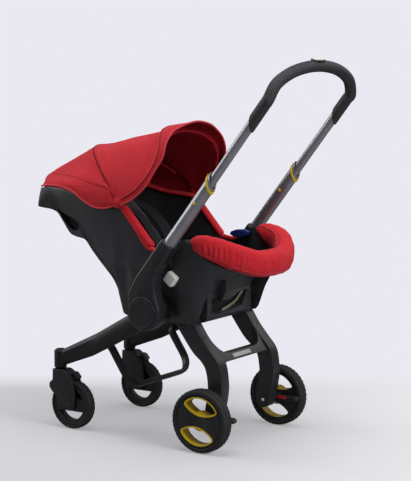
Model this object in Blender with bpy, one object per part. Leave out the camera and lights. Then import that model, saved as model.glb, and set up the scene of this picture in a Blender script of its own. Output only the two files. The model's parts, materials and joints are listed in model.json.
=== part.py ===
"""Car seat stroller: an infant car seat with its own folding four-wheel undercarriage.

Metres, +Z up. The casters and the child's head end face -Y, the person pushing stands at +Y,
and the stroller's left side is +X. The origin is on the floor, below the middle of the object.
Places in the side view are given as (back, height): back from the hub, height above the floor.
"""

import math

import bmesh
import bpy
from mathutils import Vector

for old in list(bpy.data.objects):
    bpy.data.objects.remove(old)

# Clearances between pieces
GAP = 0.0004            # faces that rest on each other
RUN = 0.0020            # faces that turn or slide past each other
PLAY = 0.0004           # radial play of a pin or tube in its bore

# The hub: the common axis of the handle and the front legs
HUB_Y = 0.0366
HUB_HEIGHT = 0.355
HUB_SHAFT_RADIUS = 0.0115
HUB_SHAFT_BURIED = 0.035    # length of the shaft inside the seat shell

# The stack of parts on the hub, from the seat outwards
SEAT_HALF_WIDTH = 0.1585    # the shell's flat side where the legs turn
SKIRT_WALL = 0.0115
FRONT_ROOT_WIDTH = 0.0255
ARM_WALL = 0.0030

# Seat shell: at each place back from the hub, the heights of its underside and rim,
# and the half widths at the rim and at the underside
SHELL_SECTIONS = (
    (-0.455, 0.594, 0.640, 0.062, 0.058),
    (-0.442, 0.592, 0.644, 0.088, 0.080),
    (-0.420, 0.591, 0.648, 0.110, 0.096),
    (-0.395, 0.590, 0.652, 0.127, 0.106),
    (-0.370, 0.583, 0.655, 0.140, 0.110),
    (-0.345, 0.556, 0.655, 0.149, 0.112),
    (-0.318, 0.526, 0.654, 0.156, 0.115),
    (-0.298, 0.520, 0.651, 0.160, 0.117),
    (-0.268, 0.515, 0.643, 0.165, 0.119),
    (-0.245, 0.490, 0.635, 0.168, 0.120),
    (-0.216, 0.461, 0.627, 0.171, 0.122),
    (-0.190, 0.437, 0.622, 0.173, 0.124),
    (-0.166, 0.412, 0.620, 0.174, 0.125),
    (-0.145, 0.372, 0.619, 0.175, 0.126),
    (-0.133, 0.326, 0.618, 0.175, 0.127),
    (-0.118, 0.320, 0.617, 0.175, 0.128),
    (-0.107, 0.320, 0.615, 0.175, 0.129),
    (-0.095, 0.320, 0.602, 0.175, 0.132),
    (-0.058, 0.320, 0.560, 0.175, 0.148),
    (-0.013, 0.320, 0.510, 0.175, 0.150),
    (0.030, 0.320, 0.503, 0.176, 0.150),
    (0.050, 0.320, 0.512, 0.176, 0.150),
    (0.061, 0.320, 0.525, 0.180, 0.150),
    (0.100, 0.320, 0.545, 0.180, 0.150),
    (0.112, 0.322, 0.538, 0.179, 0.150),
    (0.143, 0.389, 0.511, 0.174, 0.148),
    (0.161, 0.419, 0.497, 0.170, 0.146),
    (0.176, 0.440, 0.488, 0.163, 0.140),
    (0.200, 0.447, 0.476, 0.145, 0.120),
    (0.222, 0.451, 0.468, 0.114, 0.088),
    (0.236, 0.454, 0.464, 0.080, 0.060),
    (0.245, 0.456, 0.462, 0.045, 0.032),
)
SIDE_STEPS = (0.08, 0.22, 0.38, 0.54, 0.70, 0.86, 1.0)
WAIST_RISE_FROM_HUB = 0.090
WAIST_HEIGHT = HUB_HEIGHT + WAIST_RISE_FROM_HUB  # the shell's sides are flat below it, and widen above
WAIST_RISE = 0.050
BOSS_BACK = 0.056           # behind this the sides widen lower down
BOSS_HEIGHT = 0.345
LOWER_BACK = -0.080         # ahead of this the sides draw in to clear the folded legs
LOWER_BACK_DRAW = 0.0085
HEAD_LEAN = 0.35            # how far the blunt head end leans forwards, back per height
HEAD_LEAN_START = -0.370
HEAD_LEAN_RUN = 0.070

# Seat tub: at each place, the height of its floor and the half widths low down and at the rim
TUB_SECTIONS = (
    (-0.437, 0.634, 0.060, 0.075),
    (-0.415, 0.630, 0.085, 0.105),
    (-0.375, 0.621, 0.104, 0.127),
    (-0.320, 0.587, 0.118, 0.142),
    (-0.285, 0.565, 0.122, 0.150),
    (-0.240, 0.546, 0.124, 0.158),
    (-0.193, 0.507, 0.122, 0.164),
    (-0.157, 0.458, 0.114, 0.165),
    (-0.110, 0.408, 0.104, 0.165),
    (-0.060, 0.386, 0.099, 0.165),
    (-0.013, 0.380, 0.099, 0.165),
    (0.030, 0.382, 0.099, 0.165),
    (0.080, 0.392, 0.099, 0.165),
    (0.118, 0.412, 0.099, 0.163),
    (0.150, 0.457, 0.118, 0.154),
    (0.180, 0.460, 0.116, 0.136),
    (0.205, 0.459, 0.098, 0.112),
    (0.222, 0.459, 0.066, 0.078),
)
TUB_CORNER = 0.020

# Handle
HANDLE_ANGLE = math.radians(52.0)
HANDLE_OFFSET = 0.0540      # the tube's axis passes this far in front of the hub
TUBE_RADIUS = 0.0165
TUBE_WALL = 0.0022
UPPER_TUBE_RADIUS = 0.0118
UPPER_TUBE_WALL = 0.0016
ARM_END = 0.190             # places along the tube, from the foot of the hub's perpendicular
TUBE_START = 0.085
TUBE_LIP = 0.008            # the lower tube beyond its collar
UPPER_TUBE_START = 0.263
BEND_START = 0.664
BEND_LEAD = 0.015           # the tube runs straight at least this far before the bend
BEND_TILT = math.radians(25.8)
BEND_RISE = 0.079
GRIP_START = 0.588
GRIP_CUT = 0.0176
GRIP_THICKNESS = 0.0034
COLLAR_START = 0.386
COLLAR_WIDTH = 0.0080
COLLAR_SLANT = 0.0300
COLLAR_THICKNESS = 0.0022
SNAP_PIN_PLACE = 0.328
SNAP_PIN_RADIUS = 0.0042
SNAP_PIN_PROUD = 0.0024
ARM_HUB_RADIUS = 0.050
ARM_EDGE = 0.004
CAP_RADIUS = 0.041
CAP_THICKNESS = 0.0045
HANDLE_BUTTON_LENGTH = 0.046
HANDLE_BUTTON_WIDTH = 0.018
HANDLE_BUTTON_BASE = 0.0088     # distances from the bar's axis
HANDLE_BUTTON_TOP = 0.0212
HANDLE_BUTTON_TRAVEL = 0.0030

# Rear wheels
REAR_WHEEL_RADIUS = 0.083
REAR_WHEEL_WIDTH = 0.036
REAR_TRACK = 0.380
REAR_AXLE_BACK = 0.160
REAR_AXLE_RADIUS = 0.0060
REAR_TYRE_DEPTH = 0.0125
REAR_OPENING_RADIUS = 0.0606
REAR_OPENING_NEAREST = 0.0185
REAR_OPENING_BULGE = 0.0730
REAR_OPENING_CORNER = 0.0040
REAR_OPENING_TURN = math.radians(-9)
INSERT_WALL = 0.0036
RIM_INSET = 0.0025
RIM_LIP = 0.0030
REAR_BORE_END = REAR_WHEEL_WIDTH / 2 - RIM_INSET - 0.002
BARREL_RADIUS = 0.0255
BARREL_WIDTH = 0.020

# Rear frame, shaped like an H
REAR_PIVOT_BACK = 0.058
REAR_PIVOT_UP = -0.007
REAR_PIVOT_RADIUS = 0.0080
REAR_EYE_RADIUS = 0.0260
REAR_LEG_WIDTH = 0.036
REAR_LEG_X = SEAT_HALF_WIDTH - SKIRT_WALL - RUN - REAR_LEG_WIDTH / 2
REAR_FOOT_RADIUS = 0.0210
CROSSBAR_HEIGHT = 0.232
CROSSBAR_BACK = 0.160
CROSSBAR_THICKNESS = 0.018
CROSSBAR_DEPTH = 0.018
CROSSBAR_FILLET = 0.046
CROSSBAR_FOOT_FILLET = 0.014
LEG_LEAN = -0.75            # back per height of the legs beside the crossbar
WELL_ROOF = 0.444
WELL_FRONT = 0.024
WELL_REAR_WALL = 0.150
WELL_CORNER_WALL = 0.122
WELL_CORNER_X = 0.060
BRAKE_WIDTH = 0.0220
BRAKE_EYE_RADIUS = 0.0130
BRAKE_REACH = 0.078
BRAKE_THICKNESS = 0.0090

# Casters
CASTER_RADIUS = 0.067
CASTER_WIDTH = 0.026
CASTER_TRACK = 0.320
CASTER_FORWARD = 0.323      # the swivel axis, ahead of the hub
CASTER_TRAIL = 0.043
CASTER_TYRE_DEPTH = 0.0100
CASTER_OPENING_RADIUS = 0.0430
CASTER_OPENING_CHORD = 0.0175
CASTER_AXLE_RADIUS = 0.0050
FORK_PLATE = 0.0060
FORK_CROWN = 0.0260
FORK_EYE_RADIUS = 0.0160
STEM_RADIUS = 0.0070
STEM_LENGTH = 0.040
LOCK_HALF_WIDTH = 0.009
LOCK_HINGE_BACK = 0.0480     # from the swivel's axis and below the socket
LOCK_HINGE_DROP = 0.0100

# Front legs and the hoop between them
SOCKET_RADIUS = 0.0170
SOCKET_LENGTH = 0.052
FRONT_EYE_RADIUS = 0.044
HOOP_WIDTH = 0.022
HOOP_THICKNESS = 0.012
HOOP_TOP_BACK = -0.167
HOOP_SINK = 0.0100          # the hoop's ends sit this far inside the legs
HOOP_LOW_BACK = -0.096
HOOP_LOW_HEIGHT = 0.134
HOOP_HALF_WIDTH = 0.142
HOOP_CORNER = 0.050

# Buttons and levers on the seat
FOLD_BUTTON_BACK = 0.060
FOLD_BUTTON_UP = 0.087          # above the hub
FOLD_BUTTON_HEIGHT = HUB_HEIGHT + FOLD_BUTTON_UP
FOLD_BUTTON_RADIUS = 0.0205
FOLD_BUTTON_IN = 0.1725
FOLD_BUTTON_OUT = 0.1920
FOLD_BUTTON_TRAVEL = 0.0040
LEVER_HALF_WIDTH = 0.045
RECESS_HALF_WIDTH = 0.055
RECESS_START = 0.008
RECESS_LENGTH = 0.062
RECESS_DEPTH = 0.014
LEVER_LENGTH = 0.034
LEVER_THICKNESS = 0.0050

# Soft goods
PAD_THICKNESS = 0.020
PAD_CLEARANCE = 0.003
BUCKLE_BACK = -0.045
BUCKLE_RISE = 0.046             # above the seat's floor
CROTCH_STRAP_RISE = 0.0092      # above the seat pad's edge, where its strap ends
CANOPY_THICKNESS = 0.0030
BOW_RADIUS = 0.0032
SEAM_GAP = 0.0014
LIP_GAP = 0.0055            # where the front panel steps up from the middle one
CANOPY_PIVOT_BACK = -0.105
CANOPY_PIVOT_HEIGHT = 0.637
STRAP_HALF_WIDTH = 0.016
STRAP_THICKNESS = 0.003
GUIDE_BACK = 0.044              # where the belt guide is nearest to the wall
GUIDE_HEIGHT = 0.516
GUIDE_GAP = 0.0008
GUIDE_WIDTH = 0.015
TRIM_WIDTH = 0.022
TRIM_THICKNESS = 0.012

FRONT_ROOT_IN = SEAT_HALF_WIDTH + RUN
FRONT_ROOT_OUT = FRONT_ROOT_IN + FRONT_ROOT_WIDTH
ARM_IN = FRONT_ROOT_OUT + RUN
TUBE_X = ARM_IN + ARM_WALL + TUBE_RADIUS
ARM_OUT = TUBE_X + TUBE_RADIUS + ARM_WALL
HUB_SHAFT_END = ARM_OUT - 0.006
HUB = Vector((0.0, HUB_Y, HUB_HEIGHT))
ALONG = Vector((0.0, math.cos(HANDLE_ANGLE), math.sin(HANDLE_ANGLE)))
ACROSS = Vector((0.0, -math.sin(HANDLE_ANGLE), math.cos(HANDLE_ANGLE)))
BEND_UP = Vector((0.0, math.cos(HANDLE_ANGLE + BEND_TILT), math.sin(HANDLE_ANGLE + BEND_TILT)))
HANDLE_FOOT = HUB + ACROSS * HANDLE_OFFSET
GRIP_RADIUS = UPPER_TUBE_RADIUS + GRIP_THICKNESS
TUBE_END = COLLAR_START + COLLAR_WIDTH + TUBE_LIP
SOCKET_BOTTOM = 2 * CASTER_RADIUS + RUN + FORK_CROWN + RUN
SIDES = (("left", 1), ("right", -1))


def at(x, back, height):
    return Vector((x, HUB_Y + back, height))


REAR_AXLE = at(REAR_TRACK / 2, REAR_AXLE_BACK, REAR_WHEEL_RADIUS)
REAR_PIVOT = at(0, REAR_PIVOT_BACK, HUB_HEIGHT + REAR_PIVOT_UP)
STEM = at(CASTER_TRACK / 2, -CASTER_FORWARD, SOCKET_BOTTOM)
CASTER_AXLE = at(CASTER_TRACK / 2, CASTER_TRAIL - CASTER_FORWARD, CASTER_RADIUS)
CANOPY_PIVOT = at(0, CANOPY_PIVOT_BACK, CANOPY_PIVOT_HEIGHT)


# Materials

def material(name, colour, roughness, metallic=0.0):
    made = bpy.data.materials.new(name)
    made.use_nodes = True
    shader = made.node_tree.nodes["Principled BSDF"]
    shader.inputs["Base Color"].default_value = (*colour, 1.0)
    shader.inputs["Roughness"].default_value = roughness
    shader.inputs["Metallic"].default_value = metallic
    made.diffuse_color = (*colour, 1.0)
    return made


CHARCOAL = material("charcoal_plastic", (0.030, 0.031, 0.035), 0.45)
BLACK = material("black_plastic", (0.012, 0.012, 0.014), 0.40)
RUBBER = material("black_rubber", (0.010, 0.010, 0.011), 0.75)
RED = material("red_fabric", (0.50, 0.022, 0.035), 0.90)
DARK_FABRIC = material("dark_fabric", (0.014, 0.014, 0.018), 0.95)
ALUMINIUM = material("grey_aluminium", (0.30, 0.30, 0.33), 0.35, 0.8)
STEEL = material("steel", (0.55, 0.55, 0.56), 0.30, 1.0)
GRIP_LEATHER = material("grip_leather", (0.022, 0.022, 0.025), 0.60)
YELLOW = material("yellow_plastic", (0.62, 0.46, 0.01), 0.40)
WHITE = material("white_plastic", (0.72, 0.71, 0.66), 0.35)
BLUE = material("blue_plastic", (0.010, 0.030, 0.16), 0.40)
RED_PLASTIC = material("red_plastic", (0.45, 0.015, 0.02), 0.35)
WEBBING = material("black_webbing", (0.016, 0.016, 0.018), 0.90)


# Solids: each function returns a bmesh in world places

def loft(rings, closed=False):
    """A solid through rings that have as many points each."""
    bm = bmesh.new()
    rows = [[bm.verts.new(point) for point in ring] for ring in rings]
    count = len(rows[0])
    pairs = list(zip(rows, rows[1:]))
    if closed:
        pairs.append((rows[-1], rows[0]))
    for low, high in pairs:
        for i in range(count):
            j = (i + 1) % count
            bm.faces.new((low[i], low[j], high[j], high[i]))
    if not closed:
        bm.faces.new(rows[0])
        bm.faces.new(rows[-1])
    bmesh.ops.recalc_face_normals(bm, faces=bm.faces)
    return bm


def circle(centre, axis, radius, sides):
    """Points round an axis, starting from the side nearest to +Z or, for an upright axis, +Y."""
    axis = axis.normalized()
    guide = Vector((0, 0, 1)) if abs(axis.z) < 0.9 else Vector((0, 1, 0))
    up = (guide - axis * guide.dot(axis)).normalized()
    side = axis.cross(up)
    turns = [2 * math.pi * i / sides for i in range(sides)]
    return [centre + (up * math.cos(t) + side * math.sin(t)) * radius for t in turns]


def rod(start, end, radius, sides=20):
    axis = end - start
    return loft([circle(start, axis, radius, sides), circle(end, axis, radius, sides)])


def turned(centre, profile, sides):
    """A solid round the X axis through a centre: the profile's (x, radius) points in a closed loop."""
    rings = []
    for i in range(sides):
        turn = 2 * math.pi * i / sides
        out = Vector((0, math.cos(turn), math.sin(turn)))
        rings.append([centre + Vector((x, 0, 0)) + out * radius for x, radius in profile])
    return loft(rings, closed=True)


def disc(centre, profile, sides):
    """A solid disc round the X axis: the profile's (x, radius) points from one face to the other."""
    axis = Vector((1, 0, 0))
    return loft([circle(centre + axis * x, axis, radius, sides) for x, radius in profile])


def box(low, high):
    corners = [(low.x, low.y), (high.x, low.y), (high.x, high.y), (low.x, high.y)]
    return loft([[Vector((x, y, z)) for x, y in corners] for z in (low.z, high.z)])


def counterclockwise(outline):
    area = sum(a[0] * b[1] - b[0] * a[1] for a, b in zip(outline, outline[1:] + outline[:1]))
    return outline if area > 0 else outline[::-1]


def inset(outline, distance):
    """A counterclockwise outline moved inwards."""
    moved = []
    for i, here in enumerate(outline):
        here = Vector(here)
        before = (here - Vector(outline[i - 1])).normalized()
        after = (Vector(outline[(i + 1) % len(outline)]) - here).normalized()
        first = Vector((-before.y, before.x))
        second = Vector((-after.y, after.x))
        moved.append(here + (first + second) * distance / max(1 + first.dot(second), 0.5))
    return moved


def slab(outline, near, far, edge=0.0, steps=1):
    """An outline of (back, height) points, extruded along X, with chamfered or rounded edges."""
    outline = counterclockwise([tuple(point) for point in outline])
    layers = [(near, 0.0)]
    if edge:
        turns = [math.pi / 2 * k / steps for k in range(steps + 1)]
        layers = [(near + edge * (1 - math.cos(t)), edge * (1 - math.sin(t))) for t in turns]
    layers += [(far + near - x, depth) for x, depth in reversed(layers)]
    return loft([[at(x, *point) for point in inset(outline, depth)] for x, depth in layers])


def arc(centre, radius, first, last, steps):
    """Points of an arc in the side view, with its angles in degrees."""
    turns = [math.radians(first + (last - first) * i / steps) for i in range(steps + 1)]
    return [(centre[0] + radius * math.cos(t), centre[1] + radius * math.sin(t)) for t in turns]


def sweep(path, section, guide, closed=False):
    """A solid whose section, a function of the place's number, runs along a path."""
    rings = []
    last = len(path) - 1
    for i, place in enumerate(path):
        ahead = path[min(i + 1, last)] - path[max(i - 1, 0)]
        ahead.normalize()
        up = (guide(i) - ahead * guide(i).dot(ahead)).normalized()
        side = ahead.cross(up)
        rings.append([place + side * a + up * b + ahead * c for a, b, c in section(i)])
    return loft(rings, closed)


def ellipse(half_width, half_height, sides, squareness=1.0):
    points = []
    for i in range(sides):
        turn = 2 * math.pi * (i + 0.5) / sides
        c = math.cos(turn)
        s = math.sin(turn)
        points.append((
            half_width * math.copysign(abs(c) ** squareness, c),
            half_height * math.copysign(abs(s) ** squareness, s),
            0.0))
    return points


def smooth_curve(points, per_span):
    """A curve through points, with an even number of places in each span."""
    points = [Vector(p) for p in points]
    padded = [points[0] * 2 - points[1]] + points + [points[-1] * 2 - points[-2]]
    curve = []
    for a, b, c, d in zip(padded, padded[1:], padded[2:], padded[3:]):
        for k in range(per_span):
            t = k / per_span
            curve.append(0.5 * (2 * b + (c - a) * t + (2 * a - 5 * b + 4 * c - d) * t * t
                                + (3 * b - a - 3 * c + d) * t ** 3))
    curve.append(points[-1])
    return curve


def resample(curve, count):
    """Evenly spaced points on a polyline."""
    lengths = [0.0]
    for a, b in zip(curve, curve[1:]):
        lengths.append(lengths[-1] + (b - a).length)
    points = []
    k = 0
    for i in range(count):
        wanted = lengths[-1] * i / (count - 1)
        while k < len(curve) - 2 and lengths[k + 1] < wanted:
            k += 1
        share = (wanted - lengths[k]) / (lengths[k + 1] - lengths[k])
        points.append(curve[k].lerp(curve[k + 1], min(max(share, 0.0), 1.0)))
    return points


def between(table, back, column):
    """A value of a table of sections, at any place back from the hub."""
    rows = list(zip(table, table[1:]))
    for low, high in rows:
        if back <= high[0]:
            share = min(max((back - low[0]) / (high[0] - low[0]), 0.0), 1.0)
            return low[column] + (high[column] - low[column]) * share
    return table[-1][column]


def ease(value):
    value = min(max(value, 0.0), 1.0)
    return value * value * (3 - 2 * value)


def boolean(first, second, operation="DIFFERENCE"):
    """The first solid cut by the second, or joined with it. Both are used up."""
    pieces = []
    for bm in (first, second):
        mesh = bpy.data.meshes.new("piece")
        bm.to_mesh(mesh)
        bm.free()
        pieces.append(bpy.data.objects.new("piece", mesh))
        bpy.context.scene.collection.objects.link(pieces[-1])
    modifier = pieces[0].modifiers.new("cut", "BOOLEAN")
    modifier.operation = operation
    modifier.object = pieces[1]
    graph = bpy.context.evaluated_depsgraph_get()
    result = bmesh.new()
    result.from_object(pieces[0], graph)
    for piece in pieces:
        mesh = piece.data
        bpy.data.objects.remove(piece)
        bpy.data.meshes.remove(mesh)
    return result


def cut(solid, *cutters):
    for cutter in cutters:
        solid = boolean(solid, cutter)
    return solid


def join(solid, *others):
    for other in others:
        solid = boolean(solid, other, "UNION")
    return solid


def half_disc(centre, radius, chord, half_width, turn, sides=12):
    """A D-shaped prism along X: the part of a circle beyond a chord."""
    reach = math.acos(chord / radius)
    ring = []
    for i in range(sides + 1):
        angle = turn - reach + 2 * reach * i / sides
        ring.append((radius * math.cos(angle), radius * math.sin(angle)))
    return loft([
        [centre + Vector((x, y, z)) for y, z in ring] for x in (-half_width, half_width)])


# Bodies: one empty on each joint's axis

BODIES = {}


def body(name, place, parent=None):
    made = bpy.data.objects.new(name + "_body", None)
    bpy.context.scene.collection.objects.link(made)
    made.empty_display_size = 0.03
    made.location = place
    if parent:
        made.parent = BODIES[parent][0]
        made.location = place - BODIES[parent][1]
    BODIES[name] = (made, place)


def mirrored(place, sign):
    return Vector((place.x * sign, place.y, place.z))


def piece(name, bm, surface, owner, sign=1):
    """Names a solid, gives it its material and hangs it on its body's empty."""
    empty, place = BODIES[owner]
    if sign < 0:
        bmesh.ops.scale(bm, vec=(-1, 1, 1), verts=bm.verts)
    bmesh.ops.remove_doubles(bm, verts=bm.verts, dist=1e-6)
    bmesh.ops.recalc_face_normals(bm, faces=bm.faces)
    bmesh.ops.translate(bm, vec=-place, verts=bm.verts)
    mesh = bpy.data.meshes.new(name)
    bm.to_mesh(mesh)
    bm.free()
    mesh.materials.append(surface)
    mesh.shade_smooth()
    mesh.set_sharp_from_angle(angle=math.radians(35))
    made = bpy.data.objects.new(name, mesh)
    bpy.context.scene.collection.objects.link(made)
    made.parent = empty
    return made


# Seat shell

def side_limit(back, height, rim_half_width):
    """How wide the shell may be at a place: flat beside the hub, wider above and behind it."""
    start = BOSS_HEIGHT if back > BOSS_BACK else WAIST_HEIGHT
    narrow = SEAT_HALF_WIDTH - LOWER_BACK_DRAW * ease((LOWER_BACK - back) / 0.03)
    if back > BOSS_BACK:
        narrow = SEAT_HALF_WIDTH
    return narrow + (rim_half_width - narrow) * ease((height - start) / WAIST_RISE)


def shell_ring(section, grow=0.0):
    back, underside, rim, half_width, foot = section
    underside -= grow
    rim += grow
    height = rim - underside
    half = [(0.0, underside), (foot * 0.6, underside), (foot, underside + height * 0.015)]
    for step in SIDE_STEPS:
        z = underside + height * step
        x = foot + (half_width - foot) * (1 - (1 - step) ** 2.2)
        half.append((min(x, side_limit(back, z, half_width)), z))
    half = [(x + grow * ease(x / foot), z) for x, z in half]
    lean = HEAD_LEAN * ease((HEAD_LEAN_START - back) / HEAD_LEAN_RUN)
    right = [(-x, z) for x, z in half[:0:-1]]
    return [at(x, back - lean * (rim - z), z) for x, z in half + right]


def shell_hull(grow=0.0):
    sections = [list(section) for section in SHELL_SECTIONS]
    sections[0][0] -= grow
    sections[-1][0] += grow
    return loft([shell_ring(section, grow) for section in sections])


def tub_ring(section, shrink):
    back, floor, low, wide = section
    floor += shrink
    low -= shrink
    wide -= shrink
    half = [
        (0.0, floor),
        (low * 0.75, floor),
        (low, floor + TUB_CORNER),
        (low + 0.001, max(floor + TUB_CORNER + 0.008, WAIST_HEIGHT + 0.003)),
        (low + 0.85 * (wide - low), max(floor + TUB_CORNER + 0.020, WAIST_HEIGHT + 0.030)),
        (wide, 0.80)]
    return [at(x, back, z) for x, z in half] + [at(-x, back, z) for x, z in half[:0:-1]]


def tub_wall(back, height):
    """How far the inside of the tub's wall is from the middle."""
    ring = tub_ring([back] + [between(TUB_SECTIONS, back, column) for column in (1, 2, 3)], 0.0)
    sides = [(place.z, place.x) for place in ring[:6]]
    for (low, near), (high, far) in zip(sides[1:], sides[2:]):
        if low <= height <= high:
            return near + (far - near) * (height - low) / (high - low)
    return sides[-1][1]


def tub_space(shrink=0.0):
    """The hollow of the seat, or what is left of it inside a clearance."""
    return loft([tub_ring(section, shrink) for section in TUB_SECTIONS])


def rear_well(side):
    """The space in which a rear leg folds up into the shell."""
    pivot = (REAR_PIVOT_BACK, HUB_HEIGHT + REAR_PIVOT_UP)
    reach = pivot[0] - WELL_FRONT
    roof = [(REAR_PIVOT_BACK + 0.030, pivot[1] + 0.060), (0.140, WELL_ROOF - 0.010), (0.165, WELL_ROOF)]
    outline = arc(pivot, reach, 180, 80, 5) + roof + [(0.30, WELL_ROOF), (0.30, 0.28), (WELL_FRONT, 0.28)]
    near = REAR_LEG_X - REAR_LEG_WIDTH / 2 - RUN
    far = REAR_LEG_X + REAR_LEG_WIDTH / 2 + RUN
    return slab(outline, min(side * near, side * far), max(side * near, side * far))


def crossbar_well():
    """The recess across the back of the shell that takes the folded crossbar."""
    edge = REAR_LEG_X
    inner = [(WELL_REAR_WALL, 0.28), (WELL_REAR_WALL, WELL_ROOF), (0.30, WELL_ROOF), (0.30, 0.28)]
    corner = [(WELL_CORNER_WALL, 0.28), (WELL_CORNER_WALL, 0.400), (WELL_REAR_WALL, WELL_ROOF)] + inner[2:]
    return [slab(inner, -edge, edge), slab(corner, -edge, -WELL_CORNER_X), slab(corner, WELL_CORNER_X, edge)]


def underside_frame():
    """A place on the sloping underside of the head end, with the directions along and into it."""
    high = SHELL_SECTIONS[4]
    low = SHELL_SECTIONS[6]
    along = (at(0, low[0], low[1]) - at(0, high[0], high[1])).normalized()
    inward = Vector((0, -along.z, along.y))
    return at(0, high[0], high[1]) + along * RECESS_START, along, inward


def recess():
    start, along, inward = underside_frame()
    corners = [(0.0, -0.012), (RECESS_LENGTH, -0.012), (RECESS_LENGTH, RECESS_DEPTH), (0.0, RECESS_DEPTH)]
    rings = []
    for x in (-RECESS_HALF_WIDTH, RECESS_HALF_WIDTH):
        rings.append([start + along * a + inward * b + Vector((x, 0, 0)) for a, b in corners])
    return loft(rings)


def diamond(radius, near, far, edge=0.0):
    outline = []
    for k in range(4):
        outline += arc(
            (FOLD_BUTTON_BACK + 0.7 * radius * math.cos(math.radians(90 * k + 8)),
             FOLD_BUTTON_HEIGHT + 0.7 * radius * math.sin(math.radians(90 * k + 8))),
            0.3 * radius, 90 * k - 37, 90 * k + 53, 3)
    return slab(outline, near, far, edge)


def seat_shell():
    shell = cut(shell_hull(), tub_space(), recess())
    shell = cut(shell, rear_well(1), rear_well(-1), *crossbar_well())
    for side in (1, -1):
        shell = cut(
            shell,
            rod(
                HUB + Vector((side * (SEAT_HALF_WIDTH - HUB_SHAFT_BURIED - GAP), 0, 0)),
                HUB + Vector((side * 0.2, 0, 0)), HUB_SHAFT_RADIUS + PLAY, 20),
            rod(
                REAR_PIVOT + Vector((side * (REAR_LEG_X - REAR_LEG_WIDTH / 2 - 0.008 - GAP), 0, 0)),
                REAR_PIVOT + Vector((side * 0.2, 0, 0)), REAR_PIVOT_RADIUS + PLAY, 16))
        floor = FOLD_BUTTON_IN - FOLD_BUTTON_TRAVEL - GAP
        pocket = diamond(FOLD_BUTTON_RADIUS + 2 * GAP, floor, 0.22)
        if side < 0:
            bmesh.ops.scale(pocket, vec=(-1, 1, 1), verts=pocket.verts)
            bmesh.ops.recalc_face_normals(pocket, faces=pocket.faces)
        shell = cut(shell, pocket)
    return shell


def fold_lever():
    start, along, inward = underside_frame()
    first = start + along * (GAP + 0.001)
    corners = [(0.0, 0.001), (LEVER_LENGTH, 0.001), (LEVER_LENGTH, LEVER_THICKNESS), (0.0, LEVER_THICKNESS)]
    rings = []
    for x in (-LEVER_HALF_WIDTH, LEVER_HALF_WIDTH):
        rings.append([first + along * a + inward * b + Vector((x, 0, 0)) for a, b in corners])
    return loft(rings)


# Handle

def along_handle(x, distance):
    return HANDLE_FOOT + ALONG * distance + Vector((x, 0, 0))


def bar_path(first, parts=6):
    """The bar's centre line: up one tube, round the bend and down the other."""
    keys = [along_handle(TUBE_X, BEND_START - BEND_LEAD), along_handle(TUBE_X, BEND_START)]
    for i in range(1, parts):
        turn = math.pi * i / parts
        keys.append(along_handle(TUBE_X * math.cos(turn), BEND_START) + BEND_UP * BEND_RISE * math.sin(turn))
    keys += [mirrored(place, -1) for place in reversed(keys[:2])]
    return [along_handle(TUBE_X, first)] + smooth_curve(keys, 2) + [along_handle(-TUBE_X, first)]


def bar_solid(first, radius, sides=12, slant=0.0):
    path = bar_path(first)
    last = len(path) - 1

    def section(i):
        ring = ellipse(radius, radius, sides)
        shift = slant if i == 0 else -slant if i == last else 0.0
        return [(a, b, shift * b / radius) for a, b, _ in ring]
    return sweep(path, section, lambda i: ACROSS)


def button_pocket(length, width, low, high):
    """An oval block on top of the bar's middle, between two distances from its axis."""
    middle = along_handle(0, BEND_START) + BEND_UP * BEND_RISE
    ahead = Vector((1, 0, 0)).cross(BEND_UP)
    rings = []
    for distance in (low, high):
        centre = middle + BEND_UP * distance
        oval = ellipse(length / 2, width / 2, 20, 0.75)
        rings.append([centre + Vector((a, 0, 0)) + ahead * b for a, b, _ in oval])
    return loft(rings)


def handle_bar():
    bar = bar_solid(UPPER_TUBE_START, UPPER_TUBE_RADIUS)
    bore = UPPER_TUBE_RADIUS - UPPER_TUBE_WALL
    for x in (TUBE_X, -TUBE_X):
        start = along_handle(x, UPPER_TUBE_START - 0.01)
        bar = cut(bar, rod(start, along_handle(x, BEND_START - 0.03), bore, 12))
    floor = HANDLE_BUTTON_BASE - HANDLE_BUTTON_TRAVEL - GAP
    return cut(bar, button_pocket(
        HANDLE_BUTTON_LENGTH + 2 * PLAY, HANDLE_BUTTON_WIDTH + 2 * PLAY, floor, 0.04))


def handle_grip():
    grip = bar_solid(GRIP_START, GRIP_RADIUS, slant=GRIP_CUT)
    grip = cut(grip, bar_solid(GRIP_START - 0.05, UPPER_TUBE_RADIUS + GAP + PLAY))
    return cut(grip, button_pocket(
        HANDLE_BUTTON_LENGTH + 2 * PLAY, HANDLE_BUTTON_WIDTH + 2 * PLAY, 0.0, 0.04))


def handle_arm():
    end = (HANDLE_FOOT + ALONG * ARM_END) - HUB
    sleeve = TUBE_RADIUS + ARM_WALL
    left = (end.y + ACROSS.y * sleeve, HUB_HEIGHT + end.z + ACROSS.z * sleeve)
    right = (end.y - ACROSS.y * sleeve, HUB_HEIGHT + end.z - ACROSS.z * sleeve)
    outline = [left, (0.017, 0.497), (-0.024, 0.444), (-0.047, 0.403)]
    outline += arc((0, HUB_HEIGHT), ARM_HUB_RADIUS, 165, 375, 20)
    for back, height in ((-0.020, -0.050), (-0.024, -0.022), (-0.023, 0.008), (-0.002, 0.038)):
        outline.append((FOLD_BUTTON_BACK + back, FOLD_BUTTON_HEIGHT + height))
    outline.append(right)
    arm = slab(outline, ARM_IN, ARM_OUT, ARM_EDGE)
    tube = rod(along_handle(TUBE_X, TUBE_START - GAP), along_handle(TUBE_X, ARM_END + 0.05),
               TUBE_RADIUS + PLAY, 20)
    shaft = rod(HUB, HUB + Vector((HUB_SHAFT_END + GAP, 0, 0)), HUB_SHAFT_RADIUS + PLAY, 20)
    return cut(arm, tube, shaft)


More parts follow.
